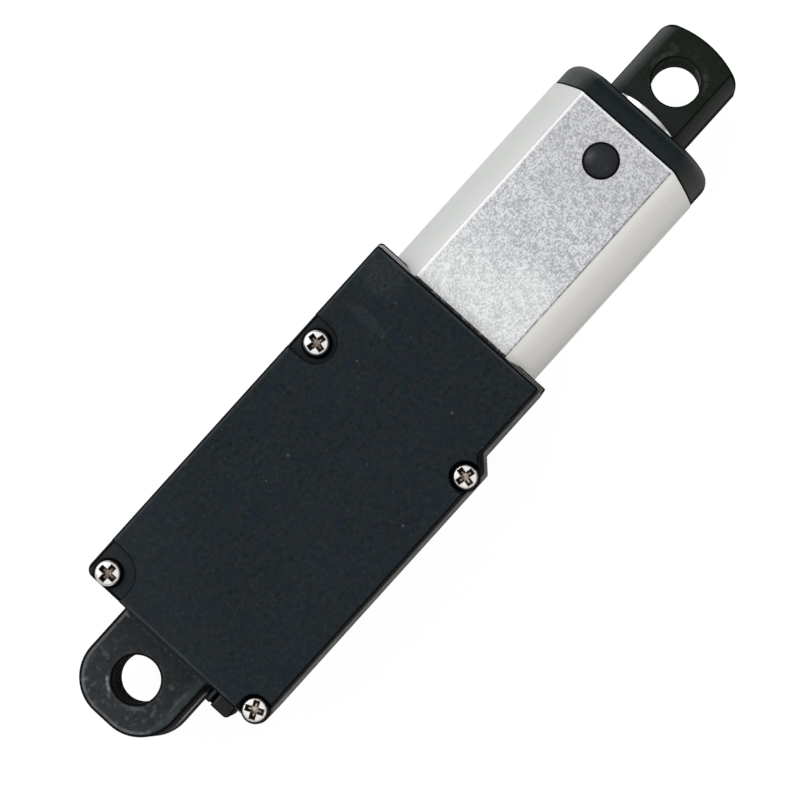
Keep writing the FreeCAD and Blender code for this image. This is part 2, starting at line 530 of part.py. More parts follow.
# ---------------------------------------------------------------- bearing
bx_mid = sum(BEARING) / 2
groove = Part.makeTorus(BALL_PITCH_R, BALL_R + 0.03, V(bx_mid, 0, 0), V(1, 0, 0))
save("bearing_outer_ring", ring(3.5, 3.0, *BEARING).cut(groove))
save("bearing_inner_ring", ring(2.0, 1.5, *BEARING).cut(groove))
balls, cage = [], ring(2.78, 2.22, bx_mid - 0.85, bx_mid + 0.85)
for i in range(BALLS):
    a = 2 * math.pi * i / BALLS
    p = V(bx_mid, BALL_PITCH_R * math.cos(a), BALL_PITCH_R * math.sin(a))
    balls.append(Part.makeSphere(BALL_R, p))
    cage = cage.cut(Part.makeCylinder(BALL_R + 0.05, 2.0, V(bx_mid, 1.7 * math.cos(a), 1.7 * math.sin(a)),
                                      V(0, math.cos(a), math.sin(a))))
save("bearing_balls", Part.makeCompound(balls))
save("bearing_cage", cage)


# ---------------------------------------------------------------- gears
def gear_points(teeth, shift, tip_r, root_r, cy, cz, phase):
    alpha = math.radians(20)
    pitch_r = MODULE * teeth / 2
    base_r = pitch_r * math.cos(alpha)
    half = (math.pi / 2 + 2 * shift * math.tan(alpha)) / teeth - BACKLASH / 2 / pitch_r
    inv = lambda a: math.tan(a) - a
    flank = []
    for i in range(5):
        r = base_r + (tip_r - base_r) * i / 4
        flank.append((r, half + inv(alpha) - inv(math.acos(min(1.0, base_r / r)))))
    if root_r < base_r:
        flank.insert(0, (root_r, flank[0][1]))
    pts = []
    for t in range(teeth):
        c = phase + 2 * math.pi * t / teeth
        for r, w in flank:
            pts.append((cy + r * math.cos(c - w), cz + r * math.sin(c - w)))
        for r, w in reversed(flank):
            pts.append((cy + r * math.cos(c + w), cz + r * math.sin(c + w)))
    return pts


PINION_TIP, PINION_ROOT = 1.33, MODULE * Z_PINION / 2 - MODULE * (1.25 - SHIFT)
WHEEL_TIP, WHEEL_ROOT = MODULE * Z_WHEEL / 2 + MODULE * (1 - SHIFT), MODULE * Z_WHEEL / 2 - MODULE * (1.25 + SHIFT)


def pinion(x0, x1, cy, cz, phase):
    return extrude_yz(gear_points(Z_PINION, SHIFT, PINION_TIP, PINION_ROOT, cy, cz, phase), x0, x1)


def wheel(x0, x1, cy, cz, phase):
    w = extrude_yz(gear_points(Z_WHEEL, -SHIFT, WHEEL_TIP, WHEEL_ROOT, cy, cz, phase), x0, x1)
    dish = ring(2.35, 1.55, x0 - 1, x0 + 0.3, cy, cz)          # thinned web on the rear face
    return w.cut(dish)


def toward(a, b):
    return math.atan2(b[1] - a[1], b[0] - a[0])


AXIS = (0.0, 0.0)
half_pitch = math.pi / Z_WHEEL
b01, b12, b20 = toward(AXIS, ARBOR_1), toward(ARBOR_1, ARBOR_2), toward(ARBOR_2, AXIS)
motor_pinion = pinion(24.25, 25.8, 0, 0, b01).cut(xcyl(SHAFT_R + 0.01, 20, 30))
save("motor_pinion", motor_pinion)

gear_1 = join(
    wheel(*LAYER_A, *ARBOR_1, b01 + math.pi + half_pitch), pinion(LAYER_A[1] - 0.1, 27.3, *ARBOR_1, b12),
    xcyl(0.8, 24.05, 24.5, *ARBOR_1), xcyl(0.8, 27.2, 29.35, *ARBOR_1))
gear_1 = gear_1.cut(xcyl(GEAR_BORE_R, 20, 35, *ARBOR_1))
save("compound_gear_1", gear_1)

gear_2 = join(
    wheel(*LAYER_B, *ARBOR_2, b12 + math.pi + half_pitch), pinion(LAYER_B[1] - 0.1, 28.9, *ARBOR_2, b20),
    xcyl(0.8, 24.05, 26.1, *ARBOR_2), xcyl(0.8, 28.8, 29.35, *ARBOR_2))
gear_2 = gear_2.cut(xcyl(GEAR_BORE_R, 20, 35, *ARBOR_2))
save("compound_gear_2", gear_2)

output_gear = join(wheel(*LAYER_C, 0, 0, b20 + math.pi + half_pitch), xcyl(1.4, 28.7, 29.25))
output_gear = output_gear.cut(xcyl(0.81, 20, 35))
save("output_gear", output_gear)

# plates, arbors, spacers and their screws
PILLARS = [(4.3, 0.0), (0.3, 4.2), (0.3, -4.2)]
plate_r = rounded(box(*PLATE_REAR, -6.0, 6.0, -5.0, 5.0), 1.5,
                  lambda e: abs(abs(mid(e).y) - 6) < 1e-6 and abs(abs(mid(e).z) - 5) < 1e-6)
plate_r = plate_r.cut(xcyl(1.56, 20, 30))
plate_f = rounded(box(*PLATE_FRONT, -5.4, 5.4, -5.0, 5.0), 2.0,
                  lambda e: abs(abs(mid(e).y) - 5.4) < 1e-6 and abs(abs(mid(e).z) - 5) < 1e-6)
plate_f = plate_f.cut(xcyl(0.88, 20, 35))
for a in (ARBOR_1, ARBOR_2):
    plate_r = plate_r.cut(xcyl(ARBOR_R + 0.01, 20, 35, *a))
    plate_f = plate_f.cut(xcyl(ARBOR_R + 0.01, 20, 35, *a))
spacers, plate_screws = [], []
can_holes = []
for p in PILLARS:
    plate_r = plate_r.cut(xcyl(0.52, 20, 35, *p))
    plate_f = plate_f.cut(xcyl(0.52, 20, 35, *p))
    spacers.append(ring(0.9, 0.52, PLATE_REAR[1], PLATE_FRONT[0], *p))
    head = xcyl(0.9, PLATE_FRONT[1], PLATE_FRONT[1] + 0.55, *p)
    slot = box(PLATE_FRONT[1] + 0.30, 32, p[0] - 1, p[0] + 1, p[1] - 0.12, p[1] + 0.12)
    plate_screws.append(join(head.cut(slot), xcyl(0.49, 22.75, PLATE_FRONT[1] + 0.1, *p)))
    can_holes.append(xcyl(0.51, 22, 24, *p))
save("gear_plate_rear", plate_r)
save("gear_plate_front", plate_f)
save("gear_spacers", Part.makeCompound(spacers))
save("gear_plate_screws", Part.makeCompound(plate_screws))
save("gear_arbors", Part.makeCompound([xcyl(ARBOR_R, 23.25, PLATE_FRONT[1] - 0.05, *a) for a in (ARBOR_1, ARBOR_2)]))

# ---------------------------------------------------------------- motor
can = double_d(MOTOR_R, MOTOR_FLAT, MOTOR_X0, MOTOR_X1)
can = rounded(can, 0.4, lambda e: abs(mid(e).x - MOTOR_X1) < 1e-6)
can = can.cut(double_d(MOTOR_R - MOTOR_WALL, MOTOR_FLAT - MOTOR_WALL, MOTOR_X0 - 1, MOTOR_X1 - 0.5))
can = can.cut(xcyl(1.51, 20, 26))
for h in can_holes:
    can = can.cut(h)
save("motor_can", can)

end_cap = join(
    double_d(MOTOR_R, MOTOR_FLAT, 8.2, MOTOR_X0 - 0.01),
    double_d(MOTOR_R - MOTOR_WALL - 0.04, MOTOR_FLAT - MOTOR_WALL - 0.04, MOTOR_X0 - 0.1, 10.5).cut(
        double_d(4.6, 3.7, MOTOR_X0 - 0.2, 11)),
    xcyl(1.9, 7.5, 8.3))
end_cap = end_cap.cut(xcyl(1.21, 7.4, 11))
for s in (1, -1):
    y0, y1 = sorted((s * 2.18, s * 2.52))
    end_cap = end_cap.cut(box(6, 11, y0, y1, -0.82, 0.82))
save("motor_end_cap", end_cap)

terminals, brushes = [], []
for s in (1, -1):
    y0, y1 = sorted((s * 2.2, s * 2.5))
    terminals.append(box(6.7, 10.0, y0, y1, -0.8, 0.8).cut(
        Part.makeCylinder(0.35, 2, V(7.2, y0 - 0.5, 0), V(0, 1, 0))))
    y0, y1 = sorted((s * 2.0, s * 2.19))
    arm = box(9.5, 12.0, y0, y1, -0.4, 0.4)
    y0, y1 = sorted((s * 1.36, s * 2.05))
    brushes.append(join(arm, box(10.9, 11.9, y0, y1, -0.4, 0.4)))
save("motor_terminals", Part.makeCompound(terminals))
save("motor_brushes", Part.makeCompound(brushes))
save("motor_bushes", Part.makeCompound([ring(1.5, 0.55, 22.2, 23.9), ring(1.2, 0.55, 7.8, 9.39)]))

magnets = []
for s in (0, 180):
    m = ring(5.5, 4.5, 12.4, 21.4)
    m = m.common(extrude_yz([(0, 0), (8 * math.cos(math.radians(52)), -8 * math.sin(math.radians(52))), (9, 0),
                             (8 * math.cos(math.radians(52)), 8 * math.sin(math.radians(52)))], 12, 22))
    m.rotate(V(0, 0, 0), V(1, 0, 0), s)
    magnets.append(m)
save("motor_magnets", Part.makeCompound(magnets))

save("motor_shaft", xcyl(SHAFT_R, 7.9, 25.82))
core = ring(1.6, SHAFT_R + 0.01, 13.6, 19.6)
coils = []
for i in range(3):
    shoe = ring(4.2, 3.4, 13.6, 19.6).common(extrude_yz(
        [(0, 0), (6 * math.cos(0.82), -6 * math.sin(0.82)), (7, 0), (6 * math.cos(0.82), 6 * math.sin(0.82))], 13, 20))
    arm = box(13.6, 19.6, 1.3, 3.6, -0.8, 0.8)
    coil = box(13.0, 20.2, 1.75, 2.8, -1.85, 1.85)
    coil = rounded(coil, 0.5, lambda e: abs(abs(mid(e).z) - 1.85) < 1e-6 and (abs(mid(e).x - 13.0) < 1e-6 or abs(mid(e).x - 20.2) < 1e-6))
    coil = coil.cut(box(13.58, 19.62, 1.0, 4.0, -0.82, 0.82))
    for q in (shoe, arm, coil):
        q.rotate(V(0, 0, 0), V(1, 0, 0), 120 * i + 30)
    core = core.fuse(shoe).fuse(arm)
    coils.append(coil)
save("armature_core", core.removeSplitter())
save("armature_windings", Part.makeCompound(coils))
commutator = ring(1.3, SHAFT_R + 0.01, 10.6, 12.6)
for i in range(3):
    slit = box(10.5, 12.2, 1.05, 1.5, -0.08, 0.08)
    slit.rotate(V(0, 0, 0), V(1, 0, 0), 120 * i + 90)
    commutator = commutator.cut(slit)
save("commutator", commutator)

# ---------------------------------------------------------------- limit board and leads
board = box(31.0, 53.0, -3.4, 3.4, -4.60, -3.90)
save("limit_board", board)
tracks = []
for ty in (-1.2, 1.2):
    tracks += [box(37.3, 40.2, ty - 0.5, ty + 0.5, -3.90, -3.84), box(40.5, 49.9, ty - 0.5, ty + 0.5, -3.90, -3.84),
               box(50.2, 52.7, ty - 0.5, ty + 0.5, -3.90, -3.84)]
for ty in (-2.6, 2.6):
    tracks.append(box(36.9, 52.7, ty - 0.35, ty + 0.35, -3.90, -3.84))
save("board_tracks", Part.makeCompound(tracks))
save("limit_diodes", Part.makeCompound([
    rounded(box(31.3, 32.3, dy - 0.8, dy + 0.8, -3.90, -3.15), 0.12,
            lambda e: abs(mid(e).z + 3.15) < 1e-6) for dy in (0.9, 2.5)]))


def lead(points, r, bend):
    edges, here = [], V(*points[0])
    for i in range(1, len(points) - 1):
        p = V(*points[i])
        u, w = V(*points[i - 1]).sub(p), V(*points[i + 1]).sub(p)
        u.normalize()
        w.normalize()
        half = u.getAngle(w) / 2
        t = bend / math.tan(half)
        bis = u.add(w)
        bis.normalize()
        c = p.add(bis * (bend / math.sin(half)))
        s, e = p.add(u * t), p.add(w * t)
        edges += [Part.LineSegment(here, s).toShape(), Part.Arc(s, c.sub(bis * bend), e).toShape()]
        here = e
    edges.append(Part.LineSegment(here, V(*points[-1])).toShape())
    path = Part.Wire(edges)
    start = V(*points[1]).sub(V(*points[0]))
    disc = Part.Wire([Part.makeCircle(r, V(*points[0]), start)])
    s = path.makePipeShell([disc], True, False)
    print("lead volume / section x length: %.4f" % (s.Volume / (math.pi * r * r * path.Length)))
    return s


save("motor_lead_black", lead([(31.4, -2.3, -3.52), (31.4, -6.2, -3.52), (31.4, -6.2, -5.5), (7.2, -6.2, -5.5),
                               (7.2, -6.2, 0.0), (7.2, -2.54, 0.0)], 0.34, 0.85))
save("motor_lead_red", lead([(32.2, -0.6, -3.52), (32.2, -7.0, -3.52), (6.3, -7.0, -3.52), (6.3, 2.9, -3.52),
                             (6.3, 2.9, 0.6)], 0.34, 0.85))
print("ratio per mesh", Z_WHEEL / Z_PINION, "total", (Z_WHEEL / Z_PINION) ** 3)
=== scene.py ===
import math

import bpy
from mathutils import Matrix, Vector


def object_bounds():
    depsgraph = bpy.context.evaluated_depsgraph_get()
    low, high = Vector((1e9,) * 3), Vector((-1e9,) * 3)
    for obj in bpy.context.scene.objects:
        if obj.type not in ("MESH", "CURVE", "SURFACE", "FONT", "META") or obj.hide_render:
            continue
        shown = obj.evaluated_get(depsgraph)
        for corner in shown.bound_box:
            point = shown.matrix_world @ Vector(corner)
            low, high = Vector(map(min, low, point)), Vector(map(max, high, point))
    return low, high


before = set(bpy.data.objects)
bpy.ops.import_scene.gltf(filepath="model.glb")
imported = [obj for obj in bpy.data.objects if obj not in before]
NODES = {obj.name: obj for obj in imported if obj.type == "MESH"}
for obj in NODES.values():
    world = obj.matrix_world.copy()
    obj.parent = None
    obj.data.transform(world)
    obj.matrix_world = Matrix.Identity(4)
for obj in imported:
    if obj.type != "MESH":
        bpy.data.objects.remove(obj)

CAD_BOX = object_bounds()


# ---------------------------------------------------------------- node helpers
class Look:
    """One procedural material. Coordinates are the piece's own, in millimetres."""

    def __init__(self, name, **fixed):
        self.mat = bpy.data.materials.new(name)
        self.mat.use_nodes = True
        self.nt = self.mat.node_tree
        self.nt.nodes.clear()
        out = self.nt.nodes.new("ShaderNodeOutputMaterial")
        self.bsdf = self.nt.nodes.new("ShaderNodeBsdfPrincipled")
        self.nt.links.new(self.bsdf.outputs[0], out.inputs[0])
        for key, value in fixed.items():
            self.bsdf.inputs[key.replace("_", " ")].default_value = value
        tc = self.nt.nodes.new("ShaderNodeTexCoord")
        self.p = self.vec("SCALE", tc.outputs["Object"], scale=1000.0)
        sep = self.nt.nodes.new("ShaderNodeSeparateXYZ")
        self.nt.links.new(self.p, sep.inputs[0])
        self.x, self.y, self.z = sep.outputs

    def put(self, socket, value):
        if hasattr(value, "is_output"):
            self.nt.links.new(value, socket)
        elif isinstance(value, (tuple, list)) and len(value) == 3 and socket.type == "RGBA":
            socket.default_value = (*value, 1.0)
        else:
            socket.default_value = value

    def math(self, op, a, b=0.0, c=0.0, clamp=False):
        n = self.nt.nodes.new("ShaderNodeMath")
        n.operation, n.use_clamp = op, clamp
        for s, v in zip(n.inputs, (a, b, c)):
            self.put(s, v)
        return n.outputs[0]

    def vec(self, op, a, b=(0.0, 0.0, 0.0), scale=1.0):
        n = self.nt.nodes.new("ShaderNodeVectorMath")
        n.operation = op
        self.put(n.inputs[0], a)
        self.put(n.inputs[1], b)
        if op == "SCALE":
            n.inputs["Scale"].default_value = scale
        return n.outputs["Value"] if op in ("LENGTH", "DISTANCE", "DOT_PRODUCT") else n.outputs["Vector"]

    def mul(self, *v):
        r = v[0]
        for w in v[1:]:
            r = self.math("MULTIPLY", r, w)
        return r

    def add(self, a, b):
        return self.math("ADD", a, b)

    def lowest(self, *v):
        r = v[0]
        for w in v[1:]:
            r = self.math("MINIMUM", r, w)
        return r

    def highest(self, *v):
        r = v[0]
        for w in v[1:]:
            r = self.math("MAXIMUM", r, w)
        return r

    def step(self, value, a, b, lo=0.0, hi=1.0):
        """Runs smoothly from lo at a to hi at b."""
        n = self.nt.nodes.new("ShaderNodeMapRange")
        n.interpolation_type = "SMOOTHSTEP"
        for s, v in zip(n.inputs, (value, a, b, lo, hi)):
            self.put(s, v)
        return n.outputs[0]

    def line(self, value, a, b, lo=0.0, hi=1.0):
        """Runs straight from lo at a to hi at b, and stays there."""
        n = self.nt.nodes.new("ShaderNodeMapRange")
        n.clamp = True
        for s, v in zip(n.inputs, (value, a, b, lo, hi)):
            self.put(s, v)
        return n.outputs[0]

    def place(self, scale=(1, 1, 1), turn=(0, 0, 0), shift=(0, 0, 0)):
        n = self.nt.nodes.new("ShaderNodeMapping")
        n.vector_type = "POINT"
        self.put(n.inputs["Vector"], self.p)
        n.inputs["Location"].default_value = shift
        n.inputs["Rotation"].default_value = [math.radians(a) for a in turn]
        n.inputs["Scale"].default_value = scale
        return n.outputs[0]

    def noise(self, size, detail=2.0, rough=0.5, at=None, warp=0.0, seed=0.0):
        """Cloudy noise with lumps of about that size in millimetres, 0 to 1."""
        n = self.nt.nodes.new("ShaderNodeTexNoise")
        n.noise_dimensions = "3D"
        self.put(n.inputs["Vector"], self.vec("ADD", self.p if at is None else at, (17.31 * seed, 5.73 * seed, 11.17 * seed)))
        n.inputs["Scale"].default_value = 1.0 / size
        n.inputs["Detail"].default_value = detail
        n.inputs["Roughness"].default_value = rough
        n.inputs["Distortion"].default_value = warp
        return n.outputs["Fac"]

    def cells(self, size, at=None, seed=0.0, feature="F1"):
        """Distance to the nearest of scattered points about that far apart, and a random number of that point."""
        n = self.nt.nodes.new("ShaderNodeTexVoronoi")
        n.voronoi_dimensions = "3D"
        n.feature = feature
        self.put(n.inputs["Vector"], self.vec("ADD", self.p if at is None else at, (13.37 * seed, 7.91 * seed, 19.03 * seed)))
        n.inputs["Scale"].default_value = 1.0 / size
        s = self.nt.nodes.new("ShaderNodeSeparateColor")
        self.nt.links.new(n.outputs["Color"], s.inputs[0])
        return n.outputs["Distance"], s.outputs[0]

    def mix(self, fac, a, b):
        n = self.nt.nodes.new("ShaderNodeMix")
        n.data_type = "RGBA"
        self.put(n.inputs[0], fac)
        self.put(n.inputs[6], a)
        self.put(n.inputs[7], b)
        return n.outputs[2]

    def bump(self, height, depth, normal=None, strength=1.0):
        """Relief of that depth in millimetres."""
        n = self.nt.nodes.new("ShaderNodeBump")
        n.inputs["Strength"].default_value = strength
        n.inputs["Distance"].default_value = depth * 0.001
        self.put(n.inputs["Height"], height)
        if normal is not None:
            self.put(n.inputs["Normal"], normal)
        return n.outputs[0]

    def dots(self, spacing, radius, share, seed=1.0, at=None):
        """Sparse small specks: 1 on a speck, 0 elsewhere."""
        d, r = self.cells(spacing, at=at, seed=seed)
        on = self.step(d, radius / spacing, 0.55 * radius / spacing)
        return self.mul(on, self.math("LESS_THAN", r, share))

    def done(self, color=None, roughness=None, normal=None):
        if color is not None:
            self.put(self.bsdf.inputs["Base Color"], color)
        if roughness is not None:
            self.put(self.bsdf.inputs["Roughness"], roughness)
        if normal is not None:
            self.put(self.bsdf.inputs["Normal"], normal)
        return self.mat


def scuffs(k, length, width, share, turn, seed):
    """Short thin rub marks, all lying about one way."""
    at = k.place(scale=(1.0 / length, 1.0 / width, 1.0 / width), turn=(0, 0, turn))
    d, r = k.cells(1.0, at=at, seed=seed)
    on = k.step(d, 0.30, 0.08)
    return k.mul(on, k.math("LESS_THAN", r, share))


# ---------------------------------------------------------------- moulded blacks
SCREW_AXES = [(5.20, 7.10, -1.0), (30.00, 7.05, -13.0), (5.10, -8.90, 25.0), (30.05, -8.90, -12.0)]


def from_axis(k, x, y):
    """Distance from an axis that stands along Z."""
    dx, dy = k.math("SUBTRACT", k.x, x), k.math("SUBTRACT", k.y, y)
    return k.math("SQRT", k.add(k.mul(dx, dx), k.mul(dy, dy)))


def arc(k, d, x, y, radius, width, toward, spread):
    """1 on a stretch of a ring round an axis: at that radius, about that direction in degrees."""
    dx, dy = k.math("SUBTRACT", k.x, x), k.math("SUBTRACT", k.y, y)
    a = math.radians(toward)
    along = k.math("DIVIDE", k.add(k.mul(dx, math.cos(a)), k.mul(dy, math.sin(a))), k.highest(d, 0.01))
    ring = k.step(k.math("ABSOLUTE", k.math("SUBTRACT", d, radius)), width, 0.4 * width)
    return k.mul(ring, k.step(along, math.cos(math.radians(spread)), math.cos(math.radians(0.45 * spread))))


def spot(k, x, y, rx, ry):
    """1 on a soft oval spot."""
    u, v = k.math("DIVIDE", k.math("SUBTRACT", k.x, x), rx), k.math("DIVIDE", k.math("SUBTRACT", k.y, y), ry)
    return k.step(k.math("SQRT", k.add(k.mul(u, u), k.mul(v, v))), 1.0, 0.45)


def moulded(name, dark, light, grain, depth, rough, shine, specks=0.5, marks=0.5, hues=0.0, extra=None):
    """Fine-grained black plastic with dust specks and rub marks; extra(k, color, rough) adds worn and paler places, and
    painted light and shade.
    """
    k = Look(name, Specular_IOR_Level=shine, IOR=1.5)
    cloud = k.noise(6.0, 2.0, 0.5, seed=1.3)
    mottle = k.noise(0.42, 2.0, 0.55, seed=2.9)
    fine = k.noise(grain, 2.0, 0.6, seed=4.1)
    tone = k.add(k.line(fine, 0.32, 0.68, 0.0, 0.42), k.add(k.line(mottle, 0.34, 0.66, 0.0, 0.42), k.line(cloud, 0.32, 0.68, 0.0, 0.16)))
    color = k.mix(tone, dark, light)
    if hues:
        warm = k.mul(k.step(k.noise(0.55, 2.0, 0.5, seed=6.6), 0.54, 0.68), hues)
        cold = k.mul(k.step(k.noise(0.80, 2.0, 0.5, seed=7.1), 0.54, 0.68), hues)
        leaf = k.mul(k.step(k.noise(0.60, 2.0, 0.5, seed=3.2), 0.54, 0.68), hues)
        color = k.mix(warm, color, (1.6 * dark[0] + 0.66 * light[0], 0.46 * light[1], 0.48 * light[2]))
        color = k.mix(cold, color, (0.34 * light[0], 0.46 * light[1], 0.66 * light[2]))
        color = k.mix(leaf, color, (0.30 * light[0], 0.62 * light[1], 0.50 * light[2]))
    dust = k.highest(
        k.mul(k.dots(0.9, 0.085, 0.20, 2.0), 0.50),
        k.mul(k.dots(2.3, 0.14, 0.24, 7.0), 0.90),
    )
    color = k.mix(k.mul(dust, specks), color, (0.115, 0.125, 0.130))
    patch = k.step(k.noise(4.5, 2.0, 0.5, seed=9.2), 0.50, 0.62)
    rubs = k.highest(scuffs(k, 0.9, 0.17, 0.20, 35, 3.0), scuffs(k, 0.6, 0.15, 0.20, -48, 5.0))
    rubs = k.mul(rubs, patch, marks)
    color = k.mix(rubs, color, (0.045, 0.049, 0.052))
    r = k.add(k.line(fine, 0.2, 0.8, rough - 0.07, rough + 0.07), k.line(cloud, 0.3, 0.7, -0.03, 0.03))
    if extra is not None:
        color, r = extra(k, color, r)
    n = k.bump(mottle, depth * 1.6, k.bump(fine, depth))
    return k.done(color, r, n)


def cover_edge(k):
    """Distance from the cover's outline, inwards; the second value is from its lead side alone."""
    rear = k.math("ADD", k.y, 9.75)
    step = k.mul(k.math("SUBTRACT", rear, k.math("SUBTRACT", k.x, 30.82)), 0.7071)
    lead = k.highest(k.lowest(rear, step), k.math("ADD", k.y, 8.60))
    plain = k.math("SUBTRACT", 8.60, k.y)
    ends = k.lowest(k.math("SUBTRACT", k.x, 4.17), k.math("SUBTRACT", 39.10, k.x))
    return k.lowest(lead, plain, ends), lead


def tongue_edge(k):
    """Distance from the tongue's round-cornered outline, inwards."""
    u = k.highest(k.math("SUBTRACT", -0.5, k.x), 0.0)
    v = k.highest(k.math("SUBTRACT", k.math("ABSOLUTE", k.y), 0.87), 0.0)
    return k.math("SUBTRACT", 3.7, k.math("SQRT", k.add(k.mul(u, u), k.mul(v, v))))


def cover_wear_and_painted_light(k, color, r):
    """Painted shade round each screw head, along the eased top edges and pocket rims, on the pocket floors' outer edges
    and on the lead-side wall; paler pocket floors; painted light over the rear end; rubbed patches on the crown; a pale
    band just inside the top outline; painted highlights on the front wall's ends with painted shade across its middle.
    """
    floor_mask = k.step(k.math("ABSOLUTE", k.math("SUBTRACT", k.z, 6.15)), 0.06, 0.02)
    color = k.mix(k.mul(floor_mask, 0.30), color, (0.034, 0.036, 0.040))
    # painted light: paler towards the rear end and the +Y side
    pale = k.mul(k.step(k.add(k.x, k.mul(k.y, -0.6)), 12.0, 4.0), 0.10)
    color = k.mix(pale, color, (0.036, 0.046, 0.052))
    near = k.lowest(*[from_axis(k, a, b) for a, b, _ in SCREW_AXES])
    # painted shadow: a dark ring round each screw head
    ring = k.mul(k.step(near, 1.34, 1.18), k.step(k.z, 7.35, 7.20))
    edge, lead = cover_edge(k)
    crown = k.step(k.z, 7.44, 7.48)
    # a pale band just inside the top outline, left off the lead side
    pale_edge_band = k.mul(crown, k.step(edge, 0.14, 0.20), k.step(edge, 0.42, 0.26), k.step(k.y, -8.0, -6.0))
    color = k.mix(k.mul(pale_edge_band, k.line(k.noise(1.1, 3.0, 0.6, seed=9.9), 0.35, 0.65, 0.12, 0.30)), color, (0.110, 0.115, 0.122))
    rubbed = k.highest(
        k.mul(spot(k, 37.5, 6.6, 2.0, 2.4), 0.30), k.mul(spot(k, 34.1, 5.2, 0.70, 2.6), 0.24),
        k.mul(spot(k, 33.9, 3.4, 0.17, 0.17), 0.60), k.mul(spot(k, 36.6, 4.4, 0.14, 0.16), 0.45))
    color = k.mix(k.mul(rubbed, crown, k.line(k.noise(0.20, 3.0, 0.6, seed=6.1), 0.42, 0.64, 0.12, 1.0)), color, (0.074, 0.082, 0.084))
    # painted shade on the eased top edges and pocket rims, weaker beside the tongue
    beside = k.mul(k.step(k.x, 4.70, 4.50), k.step(k.math("ABSOLUTE", k.y), 5.3, 4.7))
    bevel = k.mul(k.step(k.z, 7.36, 7.40), k.highest(k.step(edge, 0.17, 0.12), k.mul(k.step(k.z, 7.497, 7.488), 0.92)), k.line(beside, 0.0, 1.0, 1.0, 0.25))
    # painted shade on the pocket floors' outer edges
    sill = k.mul(floor_mask, k.step(edge, 0.18, 0.12))
    # painted shade on the lead-side wall
    wall = k.mul(k.step(lead, 0.06, 0.02), k.step(k.x, 39.0, 38.9))
    painted_shade = k.highest(ring, bevel, sill, wall)
    color = k.mix(painted_shade, color, (0.0004, 0.0004, 0.0005))
    # painted highlights on the front wall's foot: near white at the +Y end, light grey at the lead-side end
    front = k.mul(k.step(k.x, 39.02, 39.08), k.step(k.z, 7.40, 7.36))
    rub = k.line(k.noise(0.9, 3.0, 0.6, seed=4.9), 0.35, 0.65, 0.7, 1.0)
    color = k.mix(k.mul(front, k.step(k.y, 4.2, 6.0), rub), color, (0.42, 0.42, 0.415))
    color = k.mix(k.mul(front, k.step(k.y, -5.0, -6.6), rub), color, (0.105, 0.108, 0.104))
    # painted shade across the middle of the front wall
    plain = k.mul(front, k.step(k.math("ABSOLUTE", k.y), 5.2, 4.6))
    color = k.mix(plain, color, (0.0030, 0.0034, 0.0038))
    return color, k.add(r, k.mul(k.highest(painted_shade, plain), 0.5))


